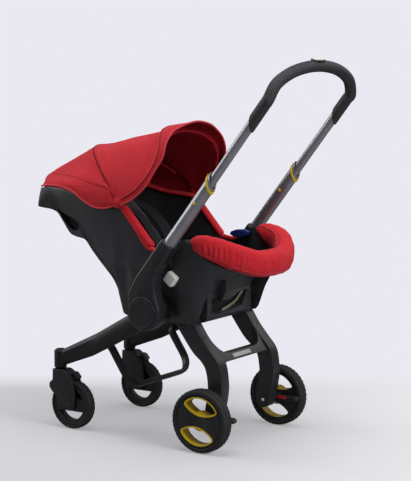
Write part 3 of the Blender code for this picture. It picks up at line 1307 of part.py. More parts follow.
def build():
    body("seat", HUB)
    body("handle", HUB, "seat")
    body("handle_top", HANDLE_FOOT, "handle")
    body("handle_button", along_handle(0, BEND_START) + BEND_UP * BEND_RISE, "handle_top")
    body("front_frame", HUB, "seat")
    body("rear_frame", REAR_PIVOT, "seat")
    body("canopy_mid", CANOPY_PIVOT, "seat")
    body("canopy_front", CANOPY_PIVOT, "canopy_mid")
    start, along, inward = underside_frame()
    body("fold_lever", start + along * 0.0014 + inward * 0.003, "seat")
    body("buckle_button", at(0, BUCKLE_BACK, BUCKLE_HEIGHT), "seat")
    lock_hinge = Vector((0, LOCK_HINGE_BACK, -LOCK_HINGE_DROP))
    for side, sign in SIDES:
        stem = mirrored(STEM, sign)
        body("fold_button_" + side, at(sign * FOLD_BUTTON_IN, FOLD_BUTTON_BACK, FOLD_BUTTON_HEIGHT), "seat")
        body("caster_" + side, stem, "front_frame")
        body("caster_wheel_" + side, mirrored(CASTER_AXLE, sign), "caster_" + side)
        body("caster_lock_" + side, stem + lock_hinge, "caster_" + side)
        body("rear_wheel_" + side, mirrored(REAR_AXLE, sign), "rear_frame")
        body("brake_" + side, mirrored(REAR_AXLE, sign), "rear_frame")

    piece("seat_shell", seat_shell(), CHARCOAL, "seat")
    piece("back_pad", back_pad(), DARK_FABRIC, "seat")
    piece("seat_pad", seat_pad(), DARK_FABRIC, "seat")
    piece("bumper_cushion", bumper_cushion(), RED, "seat")
    piece("rim_trim", rim_trim(), RED, "seat")
    piece("buckle", buckle(), BLACK, "seat")
    piece("buckle_button", buckle_button_solid(), RED_PLASTIC, "buckle_button")
    piece("fold_lever", fold_lever(), BLACK, "fold_lever")
    piece("handle_bar", handle_bar(), ALUMINIUM, "handle_top")
    piece("handle_grip", handle_grip(), GRIP_LEATHER, "handle_top")
    piece("handle_button", button_pocket(
        HANDLE_BUTTON_LENGTH, HANDLE_BUTTON_WIDTH, HANDLE_BUTTON_BASE, HANDLE_BUTTON_TOP), WHITE,
        "handle_button")
    piece("front_hoop", front_hoop(), BLACK, "front_frame")
    piece("rear_frame", rear_frame(), CHARCOAL, "rear_frame")
    rear_lines = [cross_line(HEM), cross_line(CROWN_SEAM), cross_line(MID_BOW)]
    piece("canopy_rear_panel", fabric(rear_lines, 3, SEAM_GAP), RED, "seat")
    piece("canopy_mid_panel", fabric([cross_line(MID_BOW), cross_line(FRONT_SEAM)], 3, SEAM_GAP), RED,
          "canopy_mid")
    front_lines = [cross_line(FRONT_SEAM), lip_line(), cross_line(FRONT_EDGE)]
    piece("canopy_front_panel", fabric(front_lines, 2, LIP_GAP), RED, "canopy_front")
    under = CANOPY_THICKNESS + BOW_RADIUS + 0.0030
    piece("canopy_bow_mid", bow(cross_line(MID_BOW), 2, under), STEEL, "canopy_mid")
    front_line = [a.lerp(b, 0.42) for a, b in zip(cross_line(FRONT_EDGE), cross_line(FRONT_SEAM))]
    piece("canopy_bow_front", bow(front_line, 2, under + 0.007), STEEL, "canopy_front")

    for side, sign in SIDES:
        piece("hub_shaft_" + side, rod(
            HUB + Vector((SEAT_HALF_WIDTH - HUB_SHAFT_BURIED, 0, 0)),
            HUB + Vector((HUB_SHAFT_END, 0, 0)), HUB_SHAFT_RADIUS, 20), STEEL, "seat", sign)
        piece("rear_pivot_pin_" + side, rear_pivot_pin(), STEEL, "seat", sign)
        piece("shoulder_strap_" + side, shoulder_strap(), WEBBING, "seat", sign)
        piece("belt_guide_" + side, belt_guide(), BLUE, "seat", sign)
        piece("fold_button_" + side, diamond(FOLD_BUTTON_RADIUS, FOLD_BUTTON_IN, FOLD_BUTTON_OUT, 0.003),
              WHITE, "fold_button_" + side, sign)
        piece("handle_arm_" + side, handle_arm(), CHARCOAL, "handle", sign)
        piece("hub_cap_" + side, hub_cap(), CHARCOAL, "handle", sign)
        tube = lower_tube()
        pin = snap_pin(1, PLAY)
        if sign < 0:
            pin = snap_pin(-1, PLAY)
            bmesh.ops.scale(pin, vec=(-1, 1, 1), verts=pin.verts)
            bmesh.ops.recalc_face_normals(pin, faces=pin.faces)
        piece("lower_tube_" + side, cut(tube, pin), ALUMINIUM, "handle", sign)
        piece("snap_pin_" + side, snap_pin(sign), YELLOW, "handle")
        piece("tube_collar_" + side, tube_collar(), YELLOW, "handle", sign)
        piece("front_leg_" + side, front_leg(), BLACK, "front_frame", sign)
        piece("caster_fork_" + side, caster_fork(), BLACK, "caster_" + side, sign)
        piece("caster_axle_" + side, caster_axle(), STEEL, "caster_" + side, sign)
        piece("caster_lock_" + side, caster_lock(), BLACK, "caster_lock_" + side, sign)
        piece("caster_tyre_" + side, wheel_ring(
            CASTER_AXLE, CASTER_RADIUS, CASTER_TYRE_DEPTH, CASTER_WIDTH, 32), RUBBER,
            "caster_wheel_" + side, sign)
        piece("caster_rim_" + side, caster_rim(), BLACK, "caster_wheel_" + side, sign)
        piece("rear_axle_" + side, rear_axle(), STEEL, "rear_frame", sign)
        piece("rear_tyre_" + side, wheel_ring(
            REAR_AXLE, REAR_WHEEL_RADIUS, REAR_TYRE_DEPTH, REAR_WHEEL_WIDTH, 36), RUBBER,
            "rear_wheel_" + side, sign)
        piece("rear_rim_" + side, rear_rim(), BLACK, "rear_wheel_" + side, sign)
        piece("rear_insert_" + side, rear_insert(), YELLOW, "rear_wheel_" + side, sign)
        piece("brake_" + side, brake(), BLACK if sign > 0 else RED_PLASTIC, "brake_" + side, sign)


build()
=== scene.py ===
import json
import math

import bmesh
import bpy
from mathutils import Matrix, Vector, noise
from mathutils.bvhtree import BVHTree

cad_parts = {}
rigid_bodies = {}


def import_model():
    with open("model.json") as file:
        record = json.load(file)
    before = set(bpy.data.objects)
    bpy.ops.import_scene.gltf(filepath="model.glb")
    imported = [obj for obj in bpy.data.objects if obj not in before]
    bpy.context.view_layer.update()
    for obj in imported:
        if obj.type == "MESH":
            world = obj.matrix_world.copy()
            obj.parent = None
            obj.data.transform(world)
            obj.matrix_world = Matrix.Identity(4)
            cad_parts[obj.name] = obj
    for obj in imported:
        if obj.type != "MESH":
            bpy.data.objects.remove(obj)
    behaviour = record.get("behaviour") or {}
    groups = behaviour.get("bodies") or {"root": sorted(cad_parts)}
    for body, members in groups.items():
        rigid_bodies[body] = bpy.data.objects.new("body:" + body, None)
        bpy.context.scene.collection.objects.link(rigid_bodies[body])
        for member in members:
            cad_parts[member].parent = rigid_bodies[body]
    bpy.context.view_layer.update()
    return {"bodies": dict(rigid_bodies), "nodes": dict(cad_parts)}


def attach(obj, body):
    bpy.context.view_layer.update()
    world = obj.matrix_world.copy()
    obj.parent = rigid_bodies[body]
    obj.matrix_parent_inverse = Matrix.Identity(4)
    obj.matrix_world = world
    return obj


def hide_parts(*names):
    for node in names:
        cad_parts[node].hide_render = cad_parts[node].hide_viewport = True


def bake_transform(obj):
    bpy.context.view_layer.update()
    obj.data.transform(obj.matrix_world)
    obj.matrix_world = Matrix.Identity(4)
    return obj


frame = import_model()
nodes = frame["nodes"]
scene = bpy.context.scene
bodyNames = {empty.name: name for name, empty in frame["bodies"].items()}
print("frame loaded:", len(nodes), "nodes")

# ---- camera and light

view = {"place": (3.7205, 2.5446, 1.0852), "target": (-0.4726, -0.2304, 0.45), "lens": 126.3}

eye = bpy.data.objects.new("camera", bpy.data.cameras.new("camera"))
eye.data.lens = view["lens"]
eye.location = view["place"]
eye.rotation_euler = (Vector(view["target"]) - Vector(view["place"])).to_track_quat("-Z", "Y").to_euler()
scene.collection.objects.link(eye)
scene.camera = eye
scene.view_settings.view_transform = "Standard"

lamps = {  # place, size in metres, strength in watts
    "key": ((0.5, 3.9, 2.3), 2.2, 105),
    "fill": ((0.9, -3.6, 1.5), 2.4, 62),
    "top": ((0.3, 0.1, 3.2), 2.6, 62),
    "rim": ((-2.6, 1.2, 2.2), 2.0, 14),
}
for name, (place, size, strength) in lamps.items():
    lamp = bpy.data.objects.new(name, bpy.data.lights.new(name, "AREA"))
    lamp.data.shape = "DISK"
    lamp.data.size = size
    lamp.data.energy = strength
    lamp.location = place
    lamp.rotation_euler = (Vector((0, 0, 0.45)) - Vector(place)).to_track_quat("-Z", "Y").to_euler()
    scene.collection.objects.link(lamp)


# ---- shader maths

class Wire:
    # a shader node's output, with sums

    def __init__(self, tree, socket=None):
        self.tree = tree
        self.socket = socket

    def node(self, kind, settings=None, sockets=None, output=0):
        made = self.tree.nodes.new("ShaderNode" + kind)
        for name, value in (settings or {}).items():
            if name == "stops":
                stops = made.color_ramp.elements
                while len(stops) < len(value):
                    stops.new(1.0)
                for stop, (spot, colour) in zip(stops, value):
                    stop.position = spot
                    stop.color = (*colour, 1.0) if hasattr(colour, "__len__") else (colour,) * 3 + (1.0,)
            else:
                setattr(made, name, value)
        for key, value in (sockets or {}).items():
            if isinstance(value, Wire):
                self.tree.links.new(value.socket, made.inputs[key])
            else:
                made.inputs[key].default_value = value
        return Wire(self.tree, made.outputs[output])

    def maths(self, operation, *values):
        return self.node("Math", {"operation": operation}, dict(enumerate(values)))

    def __add__(self, other):
        return self.maths("ADD", self, other)

    def __radd__(self, other):
        return self.maths("ADD", other, self)

    def __sub__(self, other):
        return self.maths("SUBTRACT", self, other)

    def __rsub__(self, other):
        return self.maths("SUBTRACT", other, self)

    def __mul__(self, other):
        return self.maths("MULTIPLY", self, other)

    def __rmul__(self, other):
        return self.maths("MULTIPLY", other, self)

    def sine(self):
        return self.maths("SINE", self)

    def parts(self, count=3):
        split = self.node("SeparateXYZ", None, {0: self}).socket.node
        return [Wire(self.tree, split.outputs[i]) for i in range(count)]

    def ramp(self, low, high, first=0.0, last=1.0):
        return self.node("MapRange", None, {0: self, 1: low, 2: high, 3: first, 4: last})

    def tint(self, first, second):
        # first where this is 0, second where it is 1
        def paint(value):
            return value if isinstance(value, Wire) else (*value, 1.0)
        return self.node("Mix", {"data_type": "RGBA"}, {0: self, 6: paint(first), 7: paint(second)}, 2)

    def grain(self, place, scale, detail=2.0, rough=0.5):
        return self.node("TexNoise", None, {
            "Vector": place, "Scale": scale, "Detail": detail, "Roughness": rough})

    def feed(self, shader, socket):
        self.tree.links.new(self.socket, shader.inputs[socket])


def scaled(colour, factor, lift=0.0):
    return tuple(min(c * factor + lift, 1) for c in colour)


def startMaterial(name, **fixed):
    made = bpy.data.materials.new(name)
    made.use_nodes = True
    tree = made.node_tree
    shader = tree.nodes["Principled BSDF"]
    for socket, value in fixed.items():
        label = {"metal": "Metallic", "sheen": "Sheen Weight", "sheenRough": "Sheen Roughness",
                 "coat": "Coat Weight", "coatRough": "Coat Roughness", "shine": "Specular IOR Level"}[socket]
        shader.inputs[label].default_value = value
    wire = Wire(tree)
    place = wire.node("TexCoord", None, None, 3)
    return made, shader, wire, place


def bump(wire, shader, height, depth):
    wire.node("Bump", None, {"Height": height, "Distance": depth, "Strength": 1.0}).feed(shader, "Normal")


def mouldedPlastic(name, colour, rough=0.45, grainDepth=0.00012, edge=1.6, coat=0.0):
    # edge says how much lighter the bevelled edges are painted: partly rubbed wear, partly a painted edge
    # highlight
    made, shader, wire, place = startMaterial(name, coat=coat, coatRough=0.25, shine=0.28)
    worn = wire.node("Attribute", {"attribute_name": "worn"}, None, 2)
    blotch = wire.grain(place, 9, 3)
    fine = wire.grain(place, 900, 2, 0.6)
    scuff = wire.grain(place, 60, 4, 0.7).ramp(0.58, 0.72)
    base = blotch.ramp(0.3, 0.7).tint(scaled(colour, 0.86), scaled(colour, 1.14, 0.001))
    # the marked bevels turn lighter: rubbed wear mixed with a painted edge highlight
    base = (worn * (0.45 + 0.55 * scuff)).tint(base, scaled(colour, edge, 0.004))
    base.feed(shader, "Base Color")
    (rough - 0.05 + 0.10 * blotch + 0.07 * scuff - 0.05 * worn).feed(shader, "Roughness")
    bump(wire, shader, fine, grainDepth)
    return made


def rubber(name):
    made, shader, wire, place = startMaterial(name, shine=0.35)
    dust = wire.grain(place, 35, 5, 0.65)
    fine = wire.grain(place, 1400, 2, 0.6)
    dust.ramp(0.42, 0.72).tint((0.011, 0.011, 0.012), (0.021, 0.021, 0.022)).feed(shader, "Base Color")
    dust.ramp(0.3, 0.7, 0.62, 0.80).feed(shader, "Roughness")
    bump(wire, shader, fine, 0.0001)
    return made


def lattice(place, pitch):
    # a woven pattern in space, which any surface cuts into crossing threads
    x, y, z = ((part * (2 * math.pi / pitch)).sine() for part in place.parts())
    return x * y + y * z + z * x


def wovenCloth(name, colour, thread=0.0011, melange=0.45, sheen=0.06, mapped=False):
    # thread is in metres, melange the share by which single fibres are darker
    made, shader, wire, place = startMaterial(name, sheen=sheen, sheenRough=0.5, shine=0.10)
    if mapped:
        u, v = (part * (2 * math.pi / thread) for part in wire.node("UVMap", {"uv_map": "cloth"}).parts(2))
        weave = u.sine() * v.sine()
    else:
        weave = lattice(place, thread * 1.6) * 0.6
    flecks = wire.grain(place, 520, 3, 0.7)
    faded = wire.grain(place, 7, 3)
    base = flecks.ramp(0.36, 0.66).tint(scaled(colour, 1 - melange),
                                        scaled(colour, 1 + melange * 0.5, 0.012 * melange))
    base = (faded.ramp(0.45, 0.75) * 0.35).tint(base, scaled(colour, 1.12, 0.004))
    base.feed(shader, "Base Color")
    flecks.ramp(0.3, 0.7, 0.82, 0.96).feed(shader, "Roughness")
    bump(wire, shader, weave * 0.5 + flecks * 0.9, 0.00022)
    return made


def brushedTube(name, colour):
    # the brush marks run along the handle's tubes
    made, shader, wire, place = startMaterial(name, metal=0.75, coat=0.15, coatRough=0.3)
    turned = wire.node("Mapping", {"vector_type": "TEXTURE"}, {
        "Vector": place, "Rotation": (math.radians(handle["angle"]), 0, 0), "Scale": (0.0011, 0.09, 0.0011)})
    brush = wire.grain(turned, 1.0, 3, 0.6)
    cloud = wire.grain(place, 18, 3)
    (brush * 0.5 + cloud * 0.5).ramp(0.35, 0.65).tint(
        scaled(colour, 0.85), scaled(colour, 1.16)).feed(shader, "Base Color")
    (brush * 0.16 + cloud * 0.10 + 0.26).feed(shader, "Roughness")
    bump(wire, shader, brush, 0.00004)
    return made


def stitchedLeather(name, colour):
    made, shader, wire, place = startMaterial(name, shine=0.4)
    cells = wire.node("TexVoronoi", {"feature": "DISTANCE_TO_EDGE"}, {"Vector": place, "Scale": 520.0})
    pores = wire.grain(place, 700, 3, 0.6)
    wear = wire.grain(place, 16, 3)
    crease = cells.ramp(0.02, 0.22)
    base = crease.tint(scaled(colour, 0.55), colour)
    (wear.ramp(0.42, 0.74) * 0.5).tint(base, scaled(colour, 1.5, 0.003)).feed(shader, "Base Color")
    wear.ramp(0.3, 0.7, 0.42, 0.60).feed(shader, "Roughness")
    bump(wire, shader, crease * 0.8 + pores * 0.4, 0.00028)
    return made


def webbing(name, colour):
    made, shader, wire, place = startMaterial(name, sheen=0.1, shine=0.3)
    u, v = wire.node("UVMap", {"uv_map": "cloth"}).parts(2)
    ribs = (v * (2 * math.pi / 0.0017)).sine()
    threads = (u * (2 * math.pi / 0.0009)).sine()
    fuzz = wire.grain(place, 600, 3, 0.7)
    (ribs * 0.3 + fuzz).ramp(0.2, 0.9).tint(
        scaled(colour, 0.6), scaled(colour, 1.7, 0.004)).feed(shader, "Base Color")
    fuzz.ramp(0.3, 0.7, 0.75, 0.92).feed(shader, "Roughness")
    bump(wire, shader, ribs * 0.6 + threads * 0.3, 0.0002)
    return made


def knitCloth(name, colour):
    made, shader, wire, place = startMaterial(name, sheen=0.3, sheenRough=0.6, shine=0.2)
    loops = lattice(place, 0.0026)
    flecks = wire.grain(place, 420, 3, 0.7)
    (flecks.ramp(0.35, 0.7) * 0.8 + loops * 0.1).tint(
        scaled(colour, 0.55), scaled(colour, 1.9, 0.004)).feed(shader, "Base Color")
    flecks.ramp(0.3, 0.7, 0.86, 0.98).feed(shader, "Roughness")
    bump(wire, shader, loops * 0.5 + flecks * 0.5, 0.0004)
    return made


def bareMetal(name, colour):
    made, shader, wire, place = startMaterial(name, metal=1.0)
    marks = wire.grain(place, 160, 4, 0.65)
    marks.ramp(0.35, 0.65).tint(scaled(colour, 0.8), colour).feed(shader, "Base Color")
    marks.ramp(0.3, 0.7, 0.24, 0.42).feed(shader, "Roughness")
    bump(wire, shader, marks, 0.00003)
    return made


handle = {  # the frame's tubes: angles in degrees and lengths in metres
    "hubBack": 0.0366, "hubHeight": 0.355, "angle": 52.0, "offset": 0.054, "tubeX": 0.2075,
    "tubeRadius": 0.0165, "tubeWall": 0.0022, "barRadius": 0.0118, "tubeStart": 0.085, "tubeEnd": 0.402,
    "barStart": 0.263, "bendStart": 0.664, "bendLead": 0.015, "bendTilt": 25.8, "bendRise": 0.079,
    "gripStart": 0.588, "gripCut": 0.0176, "gripThickness": 0.0034, "collarStart": 0.386,
    "collarWidth": 0.008, "collarSlant": 0.030, "collarThickness": 0.0022, "pinPlace": 0.328,
    "armOut": 0.227,
}

finish = {
    "shell": mouldedPlastic("shellPlastic", (0.0230, 0.0232, 0.0265), 0.36, edge=2.4),
    "arm": mouldedPlastic("armPlastic", (0.0130, 0.0132, 0.0160), 0.42, edge=2.2),
    "leg": mouldedPlastic("legPlastic", (0.0040, 0.0042, 0.0052), 0.48, edge=2.6),
    "frame": mouldedPlastic("framePlastic", (0.0190, 0.0192, 0.0210), 0.34, edge=2.0),
    "black": mouldedPlastic("blackPlastic", (0.0105, 0.0105, 0.0120), 0.42, edge=2.4),
    "yellow": mouldedPlastic("yellowPlastic", (0.56, 0.40, 0.012), 0.40, 0.00008, 1.15),
    "white": mouldedPlastic("whitePlastic", (0.66, 0.65, 0.60), 0.36, 0.00006, 1.1),
    "blue": mouldedPlastic("bluePlastic", (0.012, 0.026, 0.155), 0.38, 0.00006, 1.5),
    "red": mouldedPlastic("redPlastic", (0.42, 0.012, 0.018), 0.34, 0.00006, 1.3, coat=0.2),
    "plate": mouldedPlastic("plateFoil", (0.40, 0.40, 0.41), 0.40, 0.00004, 1.1),
    "rubber": rubber("tyreRubber"),
    "cloth": wovenCloth("redCloth", (0.55, 0.018, 0.028), mapped=True),
    "puffCloth": wovenCloth("redPuffCloth", (0.55, 0.018, 0.028), melange=0.25),
    "seam": wovenCloth("darkSeam", (0.150, 0.005, 0.009), 0.0013, melange=0.25, mapped=True),
    "piping": wovenCloth("redPiping", (0.60, 0.045, 0.058), 0.0013, melange=0.25, mapped=True),
    "lining": wovenCloth("darkLining", (0.300, 0.0080, 0.0150), melange=0.3, sheen=0.0, mapped=True),
    "knit": knitCloth("insertKnit", (0.0135, 0.0135, 0.0165)),
    "darkCloth": wovenCloth("seatCloth", (0.013, 0.013, 0.016), melange=0.35),
    "webbing": webbing("harnessWebbing", (0.012, 0.012, 0.014)),
    "tube": brushedTube("brushedTube", (0.245, 0.245, 0.265)),
    "leather": stitchedLeather("gripLeather", (0.020, 0.020, 0.0225)),
    "steel": bareMetal("steel", (0.56, 0.56, 0.57)),
    "thread": mouldedPlastic("redThread", (0.30, 0.012, 0.018), 0.7, 0.00003, 1.0),
    "strap": webbing("oliveStrap", (0.20, 0.175, 0.115)),
    # near-black plastic for the cutters and the strap hole's floor: painted shade in recesses
    "recessShade": mouldedPlastic("paintedRecessShade", (0.0035, 0.0035, 0.0040), 0.7, edge=1.2),
}
print("materials made:", len(finish))


# ---- shapes

along = Vector((0, math.cos(math.radians(handle["angle"])), math.sin(math.radians(handle["angle"]))))
across = Vector((0, -along.z, along.y))
bendTurn = math.radians(handle["angle"] + handle["bendTilt"])
bendUp = Vector((0, math.cos(bendTurn), math.sin(bendTurn)))
bendAhead = Vector((0, -bendUp.z, bendUp.y))
hub = Vector((0, handle["hubBack"], handle["hubHeight"]))
handleFoot = hub + across * handle["offset"]
upward = Vector((0, 0, 1))
sideways = Vector((1, 0, 0))


def at(x, back, height):
    return Vector((x, handle["hubBack"] + back, height))


def onHandle(x, distance):
    return handleFoot + along * distance + sideways * x


def mirrored(place):
    return Vector((-place.x, place.y, place.z))


def ease(value):
    value = min(max(value, 0.0), 1.0)
    return value * value * (3 - 2 * value)


def ellipse(halfWidth, halfHeight, sides, squareness=1.0):
    points = []
    for i in range(sides):
        turn = 2 * math.pi * (i + 0.5) / sides
        c, s = math.cos(turn), math.sin(turn)
        points.append((halfWidth * math.copysign(abs(c) ** squareness, c),
                       halfHeight * math.copysign(abs(s) ** squareness, s), 0.0))
    return points


def smoothCurve(points, perSpan):
    points = [Vector(p) for p in points]
    padded = [points[0] * 2 - points[1]] + points + [points[-1] * 2 - points[-2]]
    curve = []
    for a, b, c, d in zip(padded, padded[1:], padded[2:], padded[3:]):
        for k in range(perSpan):
            t = k / perSpan
            curve.append(0.5 * (2 * b + (c - a) * t + (2 * a - 5 * b + 4 * c - d) * t * t
                                + (3 * b - a - 3 * c + d) * t ** 3))
    curve.append(points[-1])
    return curve


def resample(curve, count):
    lengths = [0.0]
    for a, b in zip(curve, curve[1:]):
        lengths.append(lengths[-1] + (b - a).length)
    points, k = [], 0
    for i in range(count):
        wanted = lengths[-1] * i / (count - 1)
        while k < len(curve) - 2 and lengths[k + 1] < wanted:
            k += 1
        share = (wanted - lengths[k]) / max(lengths[k + 1] - lengths[k], 1e-9)
        points.append(curve[k].lerp(curve[k + 1], min(max(share, 0.0), 1.0)))
    return points


def arc(centre, radius, first, last, steps):
    turns = [math.radians(first + (last - first) * i / steps) for i in range(steps + 1)]
    return [(centre[0] + radius * math.cos(t), centre[1] + radius * math.sin(t)) for t in turns]


def steady(table, column):
    # a smooth line through a table's column, which never overshoots
    places = [row[0] for row in table]
    values = [row[column] for row in table]
    steps = [(values[i + 1] - values[i]) / (places[i + 1] - places[i]) for i in range(len(places) - 1)]
    slopes = [steps[0]] + [0.0 if a * b <= 0 else 2 * a * b / (a + b) for a, b in zip(steps, steps[1:])]
    slopes.append(steps[-1])

    def value(place):
        place = min(max(place, places[0]), places[-1])
        i = max(k for k in range(len(places) - 1) if places[k] <= place)
        width = places[i + 1] - places[i]
        t = (place - places[i]) / width
        return ((2 * t ** 3 - 3 * t ** 2 + 1) * values[i] + (t ** 3 - 2 * t ** 2 + t) * width * slopes[i]
                + (-2 * t ** 3 + 3 * t ** 2) * values[i + 1] + (t ** 3 - t ** 2) * width * slopes[i + 1])
    return value


def meshOf(piece):
    # a piece's mesh to work on, with its doubles merged
    bm = bmesh.new()
    bm.from_mesh(piece.data)
    bmesh.ops.remove_doubles(bm, verts=bm.verts, dist=1e-5)
    return bm


def settle(bm, name, material, sharp=35):
    # a mesh object at the origin, with its doubles merged and its faces turned outwards
    bmesh.ops.remove_doubles(bm, verts=bm.verts, dist=1e-6)
    bmesh.ops.recalc_face_normals(bm, faces=bm.faces)
    mesh = bpy.data.meshes.new(name)
    bm.to_mesh(mesh)
    bm.free()
    mesh.materials.append(material)
    mesh.shade_smooth()
    mesh.set_sharp_from_angle(angle=math.radians(sharp))
    piece = bpy.data.objects.new(name, mesh)
    scene.collection.objects.link(piece)
    return piece


def skin(name, rings, material, loop=False, wrap=True, sharp=35):
    # a skin over rings of points, with a map in metres round and along it
    bm = bmesh.new()
    rows = [[bm.verts.new(point) for point in ring] for ring in rings]
    count = len(rings[0])
    middle = rings[len(rings) // 2]
    around, forward = [0.0], [0.0]
    for k in range(count):
        around.append(around[-1] + (middle[(k + 1) % count] - middle[k]).length)
    for i in range(len(rings)):
        after = rings[(i + 1) % len(rings)]
        forward.append(forward[-1] + sum((b - a).length for a, b in zip(rings[i], after)) / count)
    chart = bm.loops.layers.uv.new("cloth")
    for i in range(len(rings) if loop else len(rings) - 1):
        low, high = rows[i], rows[(i + 1) % len(rows)]
        for k in range(count if wrap else count - 1):
            m = (k + 1) % count
            face = bm.faces.new((low[k], low[m], high[m], high[k]))
            for corner, (a, b) in zip(face.loops, ((k, i), (k + 1, i), (k + 1, i + 1), (k, i + 1))):
                corner[chart].uv = (around[a], forward[b])
    if wrap and not loop:
        bm.faces.new(rows[0])
        bm.faces.new(rows[-1])
    return settle(bm, name, material, sharp)


def sweepRings(path, section, guide):
    # a section's points set across every place of a path, with their second axis towards the guide
    rings, last = [], len(path) - 1
    for i, place in enumerate(path):
        ahead = path[min(i + 1, last)] - path[max(i - 1, 0)]
        ahead.normalize()
        toward = guide(i)
        up = (toward - ahead * toward.dot(ahead)).normalized()
        side = ahead.cross(up)
        rings.append([place + side * a + up * b + ahead * c for a, b, c in section(i)])
    return rings


def turnedRings(centre, profile, sides):
    # rings round a crosswise axis through a centre, for a profile of (along the axis, radius) points
    side = sideways.cross(upward)
    rings = []
    for i in range(sides):
        turn = 2 * math.pi * i / sides
        out = side * math.cos(turn) + upward * math.sin(turn)
        rings.append([centre + sideways * x + out * radius for x, radius in profile])
    return rings


def turnedPiece(name, centre, profile, sides, material, sharp=35):
    # the profile runs round and closes on itself, or starts and ends on the axis
    solid = profile[0][1] == 0
    rings = turnedRings(centre, profile, sides)
    bm = bmesh.new()
    rows = [[bm.verts.new(point) for point in ring] for ring in rings]
    count = len(profile)
    for i in range(sides):
        low, high = rows[i], rows[(i + 1) % sides]
        for k in range(count - 1 if solid else count):
            m = (k + 1) % count
            corners = [low[k], low[m], high[m], high[k]]
            if solid and k == 0:
                corners = [low[0], low[1], high[1]]
            if solid and k == count - 2:
                corners = [low[k], low[m], high[k]]
            bm.faces.new(corners)
    bmesh.ops.remove_doubles(bm, verts=bm.verts, dist=1e-7)
    bmesh.ops.dissolve_degenerate(bm, edges=bm.edges, dist=1e-7)
    return settle(bm, name, material, sharp)


def slab(name, outline, near, far, material):
    return skin(name, [[at(x, back, height) for back, height in outline] for x in (near, far)], material)


def cutter(rings):
    return skin("cutter", rings, finish["recessShade"])


def drill(centre, radius, first, last, sides=24):
    # a crosswise rod to cut with, from one distance along its axis to another
    return turnedPiece("cutter", centre, [(first, 0), (first, radius), (last, radius), (last, 0)], sides,
                       finish["recessShade"])


def bakeModifiers(piece):
    # the evaluated mesh takes the modifiers' place
    graph = bpy.context.evaluated_depsgraph_get()
    mesh = bpy.data.meshes.new_from_object(
        piece.evaluated_get(graph), preserve_all_data_layers=True, depsgraph=graph)
    piece.modifiers.clear()
    old = piece.data
    piece.data = mesh
    bpy.data.meshes.remove(old)
    return piece


def carve(piece, cutters, operation="DIFFERENCE"):
    for cutting in cutters:
        step = piece.modifiers.new("carve", "BOOLEAN")
        step.operation = operation
        step.solver = "EXACT"
        step.object = cutting
    bakeModifiers(piece)
    for cutting in cutters:
        mesh = cutting.data
        bpy.data.objects.remove(cutting)
        bpy.data.meshes.remove(mesh)
    piece.data.shade_smooth()
    piece.data.set_sharp_from_angle(angle=math.radians(35))
    return piece


def softenEdges(piece, width, segments=2, limit=32):
    # rounds the edges sharper than limit, and marks the rounding so that the finish paints it lighter: partly
    # rubbed wear, partly a painted edge highlight
    bm = bmesh.new()
    bm.from_mesh(piece.data)
    bmesh.ops.remove_doubles(bm, verts=bm.verts, dist=1e-6)
    bmesh.ops.dissolve_limit(bm, angle_limit=math.radians(0.6), verts=bm.verts, edges=bm.edges)
    worn = bm.faces.layers.float.new("worn")
    edges = [e for e in bm.edges if len(e.link_faces) == 2 and e.calc_face_angle(0) > math.radians(limit)]
    made = bmesh.ops.bevel(bm, geom=edges, offset=width, offset_type="OFFSET", segments=segments,
                           profile=0.5, affect="EDGES", clamp_overlap=True)
    for face in made["faces"]:
        face[worn] = 1.0
    bmesh.ops.remove_doubles(bm, verts=bm.verts, dist=1e-7)
    bm.to_mesh(piece.data)
    bm.free()
    piece.data.shade_smooth()
    piece.data.set_sharp_from_angle(angle=math.radians(36))
    return piece


def bodyOf(node):
    return bodyNames[nodes[node].parent.name]


def standIn(piece, node):
    # the piece takes the place of a CAD node, on its body
    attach(piece, bodyOf(node))
    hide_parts(node)
    return piece


def refined(node, name, paint, width, segments):
    # a CAD node's own shape with rounded edges
    piece = settle(meshOf(nodes[node]), name, finish[paint])
    softenEdges(piece, width, segments)
    return standIn(piece, node)


sides = (("left", 1), ("right", -1))


def flipped(rings, sign):
    return rings if sign > 0 else [[mirrored(point) for point in ring] for ring in rings]


stitch = {"pitch": 0.0046, "length": 0.0030, "thickness": 0.00084, "shortest": 0.85, "longest": 1.1}


